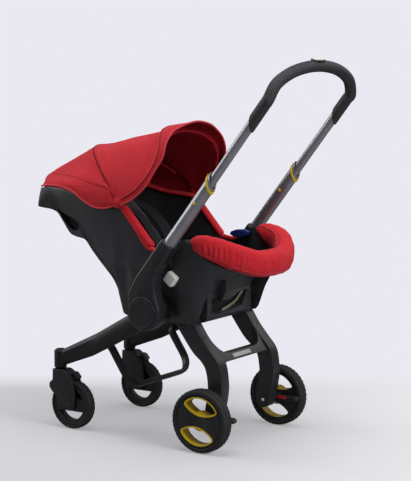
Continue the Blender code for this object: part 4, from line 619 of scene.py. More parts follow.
def stitches(name, paths, material):
    # short threads set along lines by Geometry Nodes
    bm = bmesh.new()
    for line in paths:
        spots = [bm.verts.new(point) for point in line]
        for a, b in zip(spots, spots[1:]):
            bm.edges.new((a, b))
    mesh = bpy.data.meshes.new(name)
    bm.to_mesh(mesh)
    bm.free()
    piece = bpy.data.objects.new(name, mesh)
    scene.collection.objects.link(piece)
    tree = bpy.data.node_groups.new(name, "GeometryNodeTree")
    for way in ("INPUT", "OUTPUT"):
        tree.interface.new_socket("Geometry", in_out=way, socket_type="NodeSocketGeometry")
    named = {label: tree.interface.new_socket(label, in_out="INPUT", socket_type="NodeSocketFloat").identifier
             for label in ("Pitch", "Length", "Thickness")}
    made = {label: tree.nodes.new(kind) for label, kind in (
        ("entry", "NodeGroupInput"), ("curve", "GeometryNodeMeshToCurve"), ("spots", "GeometryNodeResampleCurve"),
        ("thread", "GeometryNodeMeshUVSphere"), ("size", "ShaderNodeCombineXYZ"),
        ("chance", "FunctionNodeRandomValue"), ("scale", "ShaderNodeVectorMath"),
        ("run", "GeometryNodeInputTangent"), ("turn", "FunctionNodeAlignRotationToVector"),
        ("copies", "GeometryNodeInstanceOnPoints"), ("real", "GeometryNodeRealizeInstances"),
        ("paint", "GeometryNodeSetMaterial"), ("exit", "NodeGroupOutput"))}
    made["spots"].mode = "LENGTH"
    made["turn"].axis = "Z"
    made["scale"].operation = "SCALE"
    made["paint"].inputs["Material"].default_value = finish[material]
    for label, socket, value in (
            ("thread", "Segments", 6), ("thread", "Rings", 4), ("thread", "Radius", 0.5),
            ("chance", 2, stitch["shortest"]), ("chance", 3, stitch["longest"]), ("chance", "Seed", 7)):
        made[label].inputs[socket].default_value = value
    for label, output, other, socket in (
            ("entry", "Geometry", "curve", "Mesh"), ("curve", "Curve", "spots", "Curve"),
            ("entry", "Pitch", "spots", "Length"), ("entry", "Thickness", "size", "X"),
            ("entry", "Thickness", "size", "Y"), ("entry", "Length", "size", "Z"),
            ("run", "Tangent", "turn", "Vector"), ("spots", "Curve", "copies", "Points"),
            ("thread", "Mesh", "copies", "Instance"), ("turn", "Rotation", "copies", "Rotation"),
            ("copies", "Instances", "real", "Geometry"), ("real", "Geometry", "paint", "Geometry"),
            ("paint", "Geometry", "exit", "Geometry"), ("size", 0, "scale", 0),
            ("chance", 1, "scale", "Scale"), ("scale", 0, "copies", "Scale")):
        tree.links.new(made[label].outputs[output], made[other].inputs[socket])
    step = piece.modifiers.new("stitches", "NODES")
    step.node_group = tree
    for label, identifier in named.items():
        step[identifier] = stitch[label.lower()]
    bakeModifiers(piece)
    bpy.data.node_groups.remove(tree)
    if not piece.data.materials:
        piece.data.materials.append(finish[material])
    return piece


# ---- stage

def makeStage():
    ground = {"paint": (0.40, 0.402, 0.412), "glow": (0.245, 0.247, 0.256), "rightGlow": (0.40, 0.395, 0.40),
              "wall": (0.823, 0.812, 0.880), "edge": 0.50, "fade": 0.22, "ambient": 0.24,
              "away": (-0.834, -0.552), "near": -2.6, "step": 0.25, "rows": 24, "below": 0.0005}
    made, shader, wire, place = startMaterial("floorPaint", shine=0.0)
    x, y = place.parts(2)
    awayX, awayY = ground["away"]
    far = (x * awayX + y * awayY).ramp(ground["edge"], ground["edge"] + ground["fade"])
    # the floor's glow for camera rays grows brighter towards one side: a painted pool of light on the floor
    aside = (x * awayY + y * -awayX).ramp(0.1, 0.8)
    path = wire.node("LightPath", None, None, 0)
    glow = far.tint(aside.tint(ground["glow"], ground["rightGlow"]), ground["wall"])
    path.tint((0, 0, 0), glow).feed(shader, "Emission Color")
    shader.inputs["Emission Strength"].default_value = 1.0
    cloud = wire.grain(place, 1.2, 2).ramp(0.3, 0.7)
    far.tint(cloud.tint(scaled(ground["paint"], 0.97), ground["paint"]), (0, 0, 0)).feed(shader, "Base Color")
    shader.inputs["Roughness"].default_value = 0.8
    away = Vector((awayX, awayY, 0))
    side = Vector((awayY, -awayX, 0))
    rings = [[away * (ground["near"] + ground["step"] * i) + side * s - upward * ground["below"]
              for s in (-5, -2.5, 0, 2.5, 5)] for i in range(ground["rows"])]
    floor = skin("floor", rings, made, wrap=False)
    if floor.data.polygons[0].normal.z < 0:
        floor.data.flip_normals()
    world = scene.world or bpy.data.worlds.new("studio")
    scene.world = world
    world.use_nodes = True
    tree = world.node_tree
    back = tree.nodes["Background"]
    back.inputs["Color"].default_value = (*ground["wall"], 1)
    seen = Wire(tree).node("LightPath", None, None, 0).ramp(0.0, 1.0, ground["ambient"], 1.0)
    tree.links.new(seen.socket, back.inputs["Strength"])


makeStage()
print("stage and light made")


# ---- wheels

rearWheel = {"x": 0.190, "back": 0.160, "radius": 0.083, "width": 0.036, "depth": 0.0125,
             "opening": 0.0606, "nearest": 0.0185, "bulge": 0.0730, "corner": 0.0040, "turn": -9.0,
             "wall": 0.0036, "lip": 0.0030, "barrel": 0.0255, "barrelHalf": 0.010, "axle": 0.0064,
             "axleEnd": 0.0135, "proud": 0.00125, "slack": 0.0004}
caster = {"x": 0.160, "back": -0.280, "radius": 0.067, "width": 0.026, "depth": 0.010,
          "opening": 0.043, "chord": 0.0175, "axle": 0.0054}
tread = {"groove": 0.0011, "sipe": 0.0011, "sipeEvery": 3, "shoulders": (7, 8, 9, 10, 17, 18, 19, 20)}
through = 0.03  # how far a cutter reaches past a wheel's middle


def tyreProfile(radius, depth, half, groove):
    inner = radius - depth
    right = [(half * 0.90, inner), (half * 0.99, inner + 0.0012), (half, inner + depth * 0.30),
             (half * 0.96, inner + depth * 0.34), (half * 0.955, inner + depth * 0.42),
             (half * 0.985, inner + depth * 0.46), (half * 0.97, inner + depth * 0.62),
             (half * 0.90, inner + depth * 0.82), (half * 0.76, radius - 0.0006), (half * 0.52, radius),
             (half * 0.44, radius), (half * 0.41, radius - groove), (half * 0.31, radius - groove),
             (half * 0.28, radius)]
    return right + [(-x, r) for x, r in reversed(right)]


def makeTyre(name, centre, size, sides):
    profile = tyreProfile(size["radius"], size["depth"], size["width"] / 2, tread["groove"])
    rings = turnedRings(centre, profile, sides)
    for ring in rings[::tread["sipeEvery"]]:  # shallow cuts across the tread's shoulders
        for k in tread["shoulders"]:
            out = ring[k] - centre
            out.x = 0
            ring[k] -= out.normalized() * tread["sipe"]
    return skin(name, rings, finish["rubber"], loop=True, sharp=30)


def dPrism(centre, radius, chord, turn):
    # a D between a circle and a chord across it
    steps = 28
    reach = math.acos(chord / radius)
    ring = []
    for i in range(steps + 1):
        angle = turn - reach + 2 * reach * i / steps
        ring.append(Vector((0, radius * math.cos(angle), radius * math.sin(angle))))
    return [[centre + sideways * x + spot for spot in ring] for x in (-through, through)]


def lensPrism(centre, wall, low, high, which):
    # a rounded lens where two circles overlap, grown by a wall's width
    size, steps, bends = rearWheel, 20, 8
    outer, bulge, corner = size["opening"] + wall, size["bulge"] + wall, size["corner"] + wall
    far = size["nearest"] + size["bulge"]
    out = (far ** 2 + (outer - corner) ** 2 - (bulge - corner) ** 2) / (2 * far)
    aside = math.sqrt((outer - corner) ** 2 - out ** 2)
    outerReach, bulgeReach = math.atan2(aside, out), math.atan2(aside, far - out)
    span = math.pi - bulgeReach - outerReach

    def spot(x, y, reachX, reachY, angle):
        return x + reachX * math.sin(angle), y + reachY * math.cos(angle)

    flat = [spot(0, 0, outer, outer, outerReach * (1 - 2 * i / steps)) for i in range(steps + 1)]
    flat += [spot(-aside, out, -corner, corner, outerReach + span * i / bends) for i in range(1, bends)]
    flat += [spot(0, far, bulge, -bulge, bulgeReach * (2 * i / steps - 1)) for i in range(steps + 1)]
    flat += [spot(aside, out, corner, corner, outerReach + span * i / bends) for i in range(bends - 1, 0, -1)]
    turn = math.radians(size["turn"]) + (which - 1) * math.pi / 2
    c, s = math.cos(turn), math.sin(turn)
    return [[centre + Vector((x, a * c - b * s, a * s + b * c)) for a, b in flat] for x in sorted((low, high))]


def makeRearWheel(side, sign):
    size = rearWheel
    centre = at(sign * size["x"], size["back"], size["radius"])
    standIn(makeTyre("rearTyre_" + side, centre, size, 120), "rear_tyre_" + side)
    half = size["width"] / 2 - 0.0025
    rim = size["radius"] - size["depth"] - size["slack"]
    face = [(half - 0.0006, 0.019), (half, 0.020), (half, rim - 0.0042), (half - 0.0010, rim - 0.0036),
            (half - 0.0010, rim - 0.0020), (half, rim - 0.0014), (half, rim - 0.0006), (half - 0.0006, rim)]
    profile = [(half - 0.0006, 0)] + face
    profile += [(-x, r) for x, r in reversed(profile)]
    disc = turnedPiece("rearRim_" + side, centre, profile, 120, finish["black"])
    inside = size["lip"] - half
    cutters = []
    for which in (1, -1):
        cutters.append(cutter(lensPrism(centre, 0.0, -through, through, which)))
        cutters.append(cutter(lensPrism(
            centre, size["wall"] + size["slack"], sign * inside, sign * through, which)))
    cutters.append(drill(centre, size["barrel"] + size["slack"], -size["barrelHalf"] - size["slack"],
                         size["barrelHalf"] + size["slack"], 64))
    cutters.append(drill(centre, size["axle"], -through * sign, sign * size["axleEnd"]))
    carve(disc, cutters)
    softenEdges(disc, 0.0007)
    standIn(disc, "rear_rim_" + side)

    liners = []
    for which in (1, -1):
        liner = skin("liner", lensPrism(centre, size["wall"], sign * (inside + size["slack"]),
                                        sign * (half + size["proud"]), which), finish["yellow"])
        liners.append(carve(liner, [cutter(lensPrism(centre, 0.0, -through, through, which))]))
    depth, barrel = size["barrelHalf"], size["barrel"]
    insert = turnedPiece("rearInsert_" + side, centre, [
        (-depth, 0), (-depth, barrel), (depth, barrel), (depth, 0)], 64, finish["yellow"])
    carve(insert, liners, "UNION")
    carve(insert, [drill(centre, size["axle"], -through, through)])
    softenEdges(insert, 0.0011, 3)
    standIn(insert, "rear_insert_" + side)


def makeCasterWheel(side, sign):
    size = caster
    centre = at(sign * size["x"], size["back"], size["radius"])
    standIn(makeTyre("casterTyre_" + side, centre, size, 96), "caster_tyre_" + side)
    half = size["width"] / 2 * 0.84
    rim = size["radius"] - size["depth"] - rearWheel["slack"]
    face = [(half, 0.014), (half, rim - 0.0080), (half - 0.0010, rim - 0.0075), (half - 0.0010, rim - 0.0055),
            (half, rim - 0.0050), (half, rim - 0.0006), (half - 0.0006, rim)]
    profile = [(half, 0), (half, 0.0125), (half - 0.0008, 0.0130), (half - 0.0008, 0.0138)] + face
    profile += [(-x, r) for x, r in reversed(profile)]
    disc = turnedPiece("casterRim_" + side, centre, profile, 96, finish["black"])
    cutters = [cutter(dPrism(centre, size["opening"], size["chord"], turn))
               for turn in (math.pi / 2, -math.pi / 2)]
    cutters.append(drill(centre, size["axle"], -through, through))
    carve(disc, cutters)
    softenEdges(disc, 0.0012, 3)
    standIn(disc, "caster_rim_" + side)


brakeLens = {"place": (-0.1453, 0.198, 0.0870), "stretch": 3.3, "profile": (
    (-0.0006, 0), (-0.0006, 0.0048), (0.0006, 0.0046), (0.0009, 0.0036), (0.0010, 0))}

for side, sign in sides:
    makeRearWheel(side, sign)
    makeCasterWheel(side, sign)
    for node, name, paint, width, segments, slot in (
            ("caster_fork_", "casterFork_", "black", 0.0018, 3, "black_plastic"),
            ("caster_axle_", "casterAxle_", "black", 0.0006, 2, "steel"),
            ("caster_lock_", "casterLock_", "black", 0.0008, 2, "black_plastic"),
            ("rear_axle_", "rearAxle_", "steel", 0.0006, 2, "steel"),
            ("brake_", "brakePedal_", "black", 0.0012, 3, "black_plastic")):
        refined(node + side, name + side, paint, width, segments)
lens = turnedPiece("brakeLens", at(*brakeLens["place"]), brakeLens["profile"], 28, finish["red"], sharp=60)
lensBack = at(*brakeLens["place"]).y
for vertex in lens.data.vertices:
    vertex.co.y = lensBack + (vertex.co.y - lensBack) * brakeLens["stretch"]
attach(lens, "brake_right")
print("wheels made")


# ---- legs

for side, sign in sides:
    refined("front_leg_" + side, "frontLeg_" + side, "leg", 0.0030, 3)
    refined("hub_shaft_" + side, "hubShaft_" + side, "steel", 0.0005, 2)
    refined("rear_pivot_pin_" + side, "rearPivotPin_" + side, "black", 0.0005, 2)
refined("front_hoop", "frontHoop", "leg", 0.0012, 2)

rearFrame = {"legX": 0.127, "legWidth": 0.036, "pivot": (0.058, 0.348), "eye": 0.026, "foot": 0.021,
             "pivotBore": 0.0084, "axleBore": 0.0064, "barHeight": 0.232, "barBack": 0.160, "barThickness": 0.018,
             "barDepth": 0.018, "barFillet": 0.046, "footFillet": 0.014, "lean": -0.75,
             "front": ((0.096, 0.255), (0.128, 0.226), (0.143, 0.202), (0.149, 0.155), (0.141, 0.105)),
             "rear": ((0.190, 0.140), (0.191, 0.175), (0.182, 0.222), (0.153, 0.257), (0.126, 0.289),
                      (0.104, 0.322), (0.083, 0.354)),
             "plate": {"low": 0.2280, "high": 0.2370, "left": 0.0545, "right": -0.031, "rises": (-0.0004, 0.0009)}}


def makeRearFrame():
    size = rearFrame
    axle = (rearWheel["back"], rearWheel["radius"])
    eye = arc(size["pivot"], size["eye"], 60, 205, 24)
    foot = arc(axle, size["foot"], 175, 375, 30)
    front = smoothCurve([eye[-1], *size["front"], foot[0]], 7)[1:-1]
    rear = smoothCurve([foot[-1], *size["rear"], eye[0]], 7)[1:-1]
    outline = eye + [tuple(p) for p in front] + foot + [tuple(p) for p in rear]
    half = size["legWidth"] / 2
    legs = [slab("rearFrame", outline, sign * size["legX"] - half, sign * size["legX"] + half, finish["frame"])
            for sign in (1, -1)]
    top, bottom = size["barHeight"] + size["barThickness"] / 2, size["barHeight"] - size["barThickness"] / 2
    inner, fillet, footFillet = size["legX"] - half, size["barFillet"], size["footFillet"]

    def rounded(level, radius, rise, turns):
        turns = [math.radians(turn) for turn in turns]
        return [(inner - radius * (1 - math.cos(t)), level + rise * (1 - math.sin(t))) for t in turns]

    def onBar(x, z, depth):
        return at(x, size["barBack"] + (z - size["barHeight"]) * size["lean"] + depth, z)

    under = [(size["legX"], bottom - footFillet), (inner, bottom - footFillet)]
    under += rounded(bottom, footFillet, -footFillet, range(10, 91, 10))
    over = rounded(top, fillet, fillet, range(90, -1, -6)) + [(size["legX"], top + fillet)]
    cross = under + [(-x, z) for x, z in reversed(under)] + [(-x, z) for x, z in reversed(over)] + over
    bar = cutter([[onBar(x, z, depth) for x, z in cross]
                  for depth in (-size["barDepth"] / 2, size["barDepth"] / 2)])
    piece = carve(legs[0], [bar, legs[1]], "UNION")
    carve(piece, [drill(at(0, *place), radius, sign * start, sign * 0.2, 28) for sign in (1, -1)
                  for place, radius, start in ((size["pivot"], size["pivotBore"], 0.06),
                                               (axle, size["axleBore"], inner + 0.006))])
    softenEdges(piece, 0.0040, 3)
    standIn(piece, "rear_frame")
    plate = size["plate"]
    corners = [("left", "low"), ("right", "low"), ("right", "high"), ("left", "high")]
    label = skin("crossbarPlate", [[onBar(plate[x], plate[z], size["barDepth"] / 2 + rise) for x, z in corners]
                                   for rise in plate["rises"]], finish["plate"])
    softenEdges(label, 0.0004)
    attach(label, "rear_frame")
    for side, sign in sides:
        dot = turnedPiece("axleDot_" + side, at(sign * (inner + 0.0003), *axle), [
            (0, 0), (0, 0.0044), (-sign * 0.0010, 0.0040), (-sign * 0.0013, 0.0026), (-sign * 0.0013, 0)], 24,
            finish["white"], sharp=60)
        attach(dot, "rear_frame")


makeRearFrame()
print("legs made")


# ---- handle

def barPath(first):
    # up one tube, round the bend and down the other, from a distance along the tubes
    start, lead = handle["bendStart"], handle["bendLead"]
    keys = [onHandle(handle["tubeX"], start - lead), onHandle(handle["tubeX"], start)]
    for i in range(1, 6):
        turn = math.pi * i / 6
        keys.append(onHandle(handle["tubeX"] * math.cos(turn), start)
                    + bendUp * handle["bendRise"] * math.sin(turn))
    keys += [mirrored(place) for place in reversed(keys[:2])]
    return [onHandle(handle["tubeX"], first)] + smoothCurve(keys, 12) + [onHandle(-handle["tubeX"], first)]


def barRings(first, radius, sides, slant=0.0):
    path = barPath(first)
    last = len(path) - 1

    def section(i):
        shift = slant if i == 0 else -slant if i == last else 0.0
        return [(a, b, shift * b / radius) for a, b, _ in ellipse(radius, radius, sides)]
    return sweepRings(path, section, lambda i: across)


def ovalRings(length, width, levels):
    # rings round the middle of the bar: each level is (distance from its axis, share of the size)
    middle = onHandle(0, handle["bendStart"]) + bendUp * handle["bendRise"]
    rings = []
    for distance, share in levels:
        oval = ellipse(length / 2 * share, width / 2 * share, 40, 0.75)
        rings.append([middle + bendUp * distance + sideways * a + bendAhead * b for a, b, _ in oval])
    return rings


def slantedRings(sign, profile, slant):
    # profile points are (distance along the tube, radius, share of the slant)
    rings, sides = [], 48
    for i in range(sides):
        turn = 2 * math.pi * i / sides
        out = across * math.cos(turn) + sideways * math.sin(turn)
        rings.append([onHandle(handle["tubeX"], distance + share * slant / 2 * math.cos(turn)) + out * radius
                      for distance, radius, share in profile])
    return flipped(rings, sign)


def makeHandleTop():
    bar = skin("handleBar", barRings(handle["barStart"], handle["barRadius"], 32), finish["tube"])
    button = {"length": 0.046, "width": 0.018, "base": 0.0088, "top": 0.0212, "sink": 0.0034, "slack": 0.0008}
    length, width = button["length"] + button["slack"], button["width"] + button["slack"]
    carve(bar, [cutter(ovalRings(length, width, [(button["base"] - button["sink"], 1), (0.04, 1)]))])
    standIn(bar, "handle_bar")
    radius = handle["barRadius"] + handle["gripThickness"]
    outside = barRings(handle["gripStart"], radius, 40, handle["gripCut"])
    inside = barRings(handle["gripStart"], handle["barRadius"] + 0.0004, 40, handle["gripCut"])
    grip = skin("handleGrip", outside + inside[::-1], finish["leather"], loop=True)
    carve(grip, [cutter(ovalRings(length, width, [(0, 1), (0.04, 1)]))])
    standIn(grip, "handle_grip")
    top = button["top"]
    levels = [(button["base"], 0.96), (button["base"] + 0.0008, 1.0), (top - 0.0034, 1.0),
              (top - 0.0014, 0.93), (top - 0.0004, 0.78), (top, 0.5)]
    press = skin("handleButton", ovalRings(button["length"], button["width"], levels), finish["white"], sharp=50)
    standIn(press, "handle_button")
    levels = [(0.0118, 1.16), (0.0158, 1.16), (0.0172, 1.12), (0.0172, 1.04), (0.0118, 1.04)]
    ring = skin("handleButtonRing", ovalRings(length, button["width"] + 0.003, levels), finish["black"],
                loop=True, sharp=50)
    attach(ring, "handle_top")


def makeHandleSide(side, sign):
    outer = handle["tubeRadius"]
    inner = outer - handle["tubeWall"]
    start, end = handle["tubeStart"], handle["tubeEnd"]
    tube = skin("lowerTube_" + side, slantedRings(sign, [
        (start, inner, 0), (start, outer, 0), (end - 0.0006, outer, 1), (end, outer - 0.0005, 1),
        (end, inner, 1)], handle["collarSlant"]), finish["tube"], loop=True)
    standIn(tube, "lower_tube_" + side)
    first, last, base = handle["collarStart"], handle["collarStart"] + handle["collarWidth"], outer + 0.0004
    rise = base + handle["collarThickness"]
    collar = skin("tubeCollar_" + side, slantedRings(sign, [
        (first, base, 1), (first, rise - 0.0006, 1), (first + 0.0008, rise, 1),
        (last - 0.0008, rise, 1), (last, rise - 0.0006, 1), (last, base, 1)],
        handle["collarSlant"]), finish["yellow"], loop=True, sharp=50)
    standIn(collar, "tube_collar_" + side)
    head = turnedPiece("snapPin_" + side, onHandle(sign * handle["tubeX"], handle["pinPlace"]), [
        (inner + 0.0008, 0), (inner + 0.0008, 0.0042), (outer + 0.0014, 0.0042),
        (outer + 0.0021, 0.0034), (outer + 0.0024, 0.0020), (outer + 0.0024, 0)], 24, finish["yellow"], sharp=60)
    standIn(head, "snap_pin_" + side)
    refined("handle_arm_" + side, "handleArm_" + side, "arm", 0.0016, 2)
    cap = handle["armOut"] + 0.0004
    profile = [(0, 0), (0, 0.041), (0.0020, 0.041), (0.0036, 0.0395), (0.0042, 0.0365), (0.0034, 0.0355),
               (0.0034, 0.0335), (0.0043, 0.0325), (0.0045, 0.020), (0.0045, 0)]
    hubCap = turnedPiece("hubCap_" + side, Vector((0, hub.y, hub.z)), [
        (sign * (cap + out), radius) for out, radius in profile], 72, finish["arm"])
    standIn(hubCap, "hub_cap_" + side)


makeHandleTop()
for side, sign in sides:
    makeHandleSide(side, sign)
print("handle made")


# ---- seat shell

shell = {
    "halfWidth": 0.1585, "waist": 0.445, "waistRise": 0.050, "bossBack": 0.056, "bossHeight": 0.345,
    "lowerBack": -0.080, "lowerDraw": 0.0085, "lean": 0.35, "leanStart": -0.370, "leanRun": 0.070,
    "handHold": [(-0.348, 0.597), (-0.328, 0.590), (-0.307, 0.583), (-0.266, 0.567), (-0.273, 0.546),
                 (-0.301, 0.541), (-0.321, 0.562)],
    "slopeBack": 0.1121, "slopeHeight": 0.3229, "slope": 2.136,
    "leverSlot": ((0.0, -0.012), (0.062, -0.012), (0.062, 0.014), (0.0, 0.014)), "leverStart": 0.008,
    "leverHalf": 0.055, "wellRun": 0.002, "wellPivot": (0.058, 0.348), "wellRadius": 0.034,
    "wellRoof": [(0.088, 0.408), (0.140, 0.434), (0.165, 0.444)],
    "wellInner": [(0.150, 0.28), (0.150, 0.444), (0.30, 0.444), (0.30, 0.28)],
    "wellCorner": [(0.122, 0.28), (0.122, 0.400), (0.150, 0.444), (0.30, 0.444), (0.30, 0.28)],
    "hubBore": 0.0119, "hubDepth": 0.1231, "pinBore": 0.0084, "pinDepth": 0.1006,
    "button": (0.060, 0.442), "buttonRadius": 0.0213, "buttonTurn": 8, "buttonDepth": 0.1681,
    "strapHole": [(0.085, 0.3453), (0.0829, 0.3752), (0.0198, 0.3746), (-0.0182, 0.3944), (-0.055, 0.3946),
                  (-0.055, 0.3653), (-0.055, 0.3486), (-0.0032, 0.3433), (0.0625, 0.3401)],
    "strapLine": [(-0.0349, 0.3893), (-0.0293, 0.3789), (-0.0242, 0.3684), (-0.0141, 0.3586), (0.0069, 0.3504),
                  (0.0333, 0.343)],
    "sections": (  # back from the hub, underside, rim, half width at the rim, half width at the underside
        (-0.455, 0.594, 0.640, 0.062, 0.058), (-0.442, 0.592, 0.644, 0.088, 0.080),
        (-0.420, 0.591, 0.648, 0.110, 0.096), (-0.395, 0.590, 0.652, 0.127, 0.106),
        (-0.370, 0.583, 0.655, 0.140, 0.110), (-0.345, 0.556, 0.655, 0.149, 0.112),
        (-0.318, 0.526, 0.654, 0.156, 0.115), (-0.298, 0.520, 0.651, 0.160, 0.117),
        (-0.268, 0.515, 0.643, 0.165, 0.119), (-0.245, 0.490, 0.635, 0.168, 0.120),
        (-0.216, 0.461, 0.627, 0.171, 0.122), (-0.190, 0.437, 0.622, 0.173, 0.124),
        (-0.166, 0.412, 0.620, 0.174, 0.125), (-0.145, 0.372, 0.619, 0.175, 0.126),
        (-0.133, 0.326, 0.618, 0.175, 0.127), (-0.118, 0.320, 0.617, 0.175, 0.128),
        (-0.107, 0.320, 0.615, 0.175, 0.129), (-0.095, 0.320, 0.602, 0.175, 0.132),
        (-0.058, 0.320, 0.560, 0.175, 0.148), (-0.013, 0.320, 0.510, 0.175, 0.150),
        (0.030, 0.320, 0.503, 0.176, 0.150), (0.050, 0.320, 0.512, 0.176, 0.150),
        (0.061, 0.320, 0.525, 0.180, 0.150), (0.100, 0.320, 0.545, 0.180, 0.150),
        (0.112, 0.322, 0.538, 0.179, 0.150), (0.143, 0.389, 0.511, 0.174, 0.148),
        (0.161, 0.419, 0.497, 0.170, 0.146), (0.176, 0.440, 0.488, 0.163, 0.140),
        (0.200, 0.447, 0.476, 0.145, 0.120), (0.222, 0.451, 0.468, 0.114, 0.088),
        (0.236, 0.454, 0.464, 0.080, 0.060), (0.245, 0.456, 0.462, 0.045, 0.032)),
    "tub": (  # back, floor, half width low down and at the rim
        (-0.437, 0.634, 0.060, 0.075), (-0.415, 0.630, 0.085, 0.105), (-0.375, 0.621, 0.104, 0.127),
        (-0.320, 0.587, 0.118, 0.142), (-0.285, 0.565, 0.122, 0.150), (-0.240, 0.546, 0.124, 0.158),
        (-0.193, 0.507, 0.122, 0.164), (-0.157, 0.458, 0.114, 0.165), (-0.110, 0.408, 0.104, 0.165),
        (-0.060, 0.386, 0.099, 0.165), (-0.013, 0.380, 0.099, 0.165), (0.030, 0.382, 0.099, 0.165),
        (0.080, 0.392, 0.099, 0.165), (0.118, 0.412, 0.099, 0.163), (0.150, 0.457, 0.118, 0.154),
        (0.180, 0.460, 0.116, 0.136), (0.205, 0.459, 0.098, 0.112), (0.222, 0.459, 0.066, 0.078)),
}
shellLines = [steady(shell["sections"], column) for column in (1, 2, 3, 4)]
tubLines = [steady(shell["tub"], column) for column in (1, 2, 3)]


def sideLimit(back, height, rimHalf):
    # flat beside the hub, wider above and behind it
    start = shell["bossHeight"] if back > shell["bossBack"] else shell["waist"]
    narrow = shell["halfWidth"]
    if back <= shell["bossBack"]:
        narrow -= shell["lowerDraw"] * ease((shell["lowerBack"] - back) / 0.03)
    return narrow + (rimHalf - narrow) * ease((height - start) / shell["waistRise"])


def shellRing(back):
    steps = 22
    underside, rim, halfWidth, foot = (line(back) for line in shellLines)
    height = rim - underside
    half = [(0.0, underside), (foot * 0.35, underside), (foot * 0.7, underside), (foot * 0.93, underside),
            (foot, underside + height * 0.008)]
    for i in range(1, steps + 1):
        step = i / steps
        z = underside + height * step
        x = foot + (halfWidth - foot) * (1 - (1 - step) ** 2.2)
        half.append((min(x, sideLimit(back, z, halfWidth)), z))
    lean = shell["lean"] * ease((shell["leanStart"] - back) / shell["leanRun"])
    full = half + [(-x, z) for x, z in half[:0:-1]]
    return [at(x, back - lean * (rim - z), z) for x, z in full]


def tubRing(back):
    floor, low, wide = (line(back) for line in tubLines)
    first = max(floor + 0.028, shell["waist"] + 0.003)
    second = max(floor + 0.040, shell["waist"] + 0.030)
    half = [(0.0, floor), (low * 0.4, floor), (low * 0.72, floor), (low * 0.88, floor + 0.003),
            (low * 0.97, floor + 0.010), (low, floor + 0.020), (low + 0.001, first),
            (low + 0.35 * (wide - low), first + 0.38 * (second - first)),
            (low + 0.85 * (wide - low), second), (wide, 0.80)]
    full = half + [(-x, z) for x, z in half[:0:-1]]
    return [at(x, back, z) for x, z in full]


def placesAlong(table, step):
    # a table's own places, with more between them
    backs = [row[0] for row in table]
    found = []
    for a, b in zip(backs, backs[1:]):
        count = max(1, round((b - a) / step))
        found += [a + (b - a) * i / count for i in range(count)]
    return found + [backs[-1]]


def makeShell():
    piece = skin("seatShell", [shellRing(back) for back in placesAlong(shell["sections"], 0.007)], finish["shell"])
    cutters = [cutter([tubRing(back) for back in placesAlong(shell["tub"], 0.010)])]
    high, low = shell["sections"][4], shell["sections"][6]
    slope = (at(0, low[0], low[1]) - at(0, high[0], high[1])).normalized()
    inward = Vector((0, -slope.z, slope.y))
    start = at(0, high[0], high[1]) + slope * shell["leverStart"]
    cutters.append(cutter([[start + slope * a + inward * b + sideways * x for a, b in shell["leverSlot"]]
                           for x in (-shell["leverHalf"], shell["leverHalf"])]))

    def cut(outline, first, last):
        cutters.append(slab("cutter", outline, *sorted((first, last)), finish["recessShade"]))

    # the wells that the rear frame's legs and crossbar fold into
    legX, reach = rearFrame["legX"], rearFrame["legWidth"] / 2 + shell["wellRun"]
    outline = arc(shell["wellPivot"], shell["wellRadius"], 180, 80, 12) + shell["wellRoof"] + [
        (0.30, 0.444), (0.30, 0.28), (0.024, 0.28)]
    for sign in (1, -1):
        cut(outline, sign * (legX - reach), sign * (legX + reach))
    cut(shell["wellInner"], -legX, legX)
    cut(shell["wellCorner"], -legX, -0.060)
    cut(shell["wellCorner"], 0.060, legX)
    for sign in (1, -1):
        cutters.append(drill(hub, shell["hubBore"], sign * shell["hubDepth"], sign * 0.2))
        cutters.append(drill(at(0, *shell["wellPivot"]), shell["pinBore"], sign * shell["pinDepth"], sign * 0.2))
        back, height = shell["button"]
        radius, diamond = shell["buttonRadius"], []
        for k in range(4):  # a rounded square for the fold button
            turn = math.radians(90 * k + shell["buttonTurn"])
            diamond += arc((back + 0.7 * radius * math.cos(turn), height + 0.7 * radius * math.sin(turn)),
                           0.3 * radius, 90 * k - 37, 90 * k + 53, 4)
        cut(diamond, sign * shell["buttonDepth"], sign * 0.22)
    for sign in (1, -1):  # a hand hold in each side of the head end
        hold = [tuple(p) for p in smoothCurve(shell["handHold"] + shell["handHold"][:1], 5)[:-1]]
        cut(hold, sign * 0.118, sign * 0.2)
    slopeOut = Vector((0, shell["slope"], -1)).normalized()

    def onSlope(x, z):
        return at(x, shell["slopeBack"] + (z - shell["slopeHeight"]) / shell["slope"], z)

    strapHole = [onSlope(x, z) for x, z in shell["strapHole"]]
    cutters.append(cutter([[p + slopeOut * rise for p in strapHole] for rise in (-0.009, 0.02)]))
    for cutting in cutters:
        carve(piece, [cutting])
    softenEdges(piece, 0.0010, limit=38)
    standIn(piece, "seat_shell")
    line = smoothCurve([onSlope(x, z) - slopeOut * 0.0035 for x, z in shell["strapLine"]], 8)
    strap = skin("tailStrap", sweepRings(line, lambda i: ellipse(0.0060, 0.0009, 16, 0.5),
                                         lambda i: slopeOut), finish["strap"], sharp=60)
    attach(strap, "seat")
    # a near-black sheet laid on the floor of the strap hole: painted shade in the hole
    middle = sum(strapHole, Vector()) / len(strapHole)
    holeShade = skin("strapHoleShade", [[middle.lerp(p, 0.97) + slopeOut * rise for p in strapHole]
                            for rise in (-0.0088, -0.0078)], finish["recessShade"])
    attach(holeShade, "seat")
    return piece


shellPiece = makeShell()
refined("fold_lever", "foldLever", "black", 0.0012, 3)
for side, sign in sides:
    refined("fold_button_" + side, "foldButton_" + side, "white", 0.0014, 3)
    refined("belt_guide_" + side, "beltGuide_" + side, "blue", 0.0014, 3)
refined("buckle", "buckle", "black", 0.0012, 2)
refined("buckle_button", "buckleButton", "red", 0.0010, 3)
print("shell made")


# ---- canopy

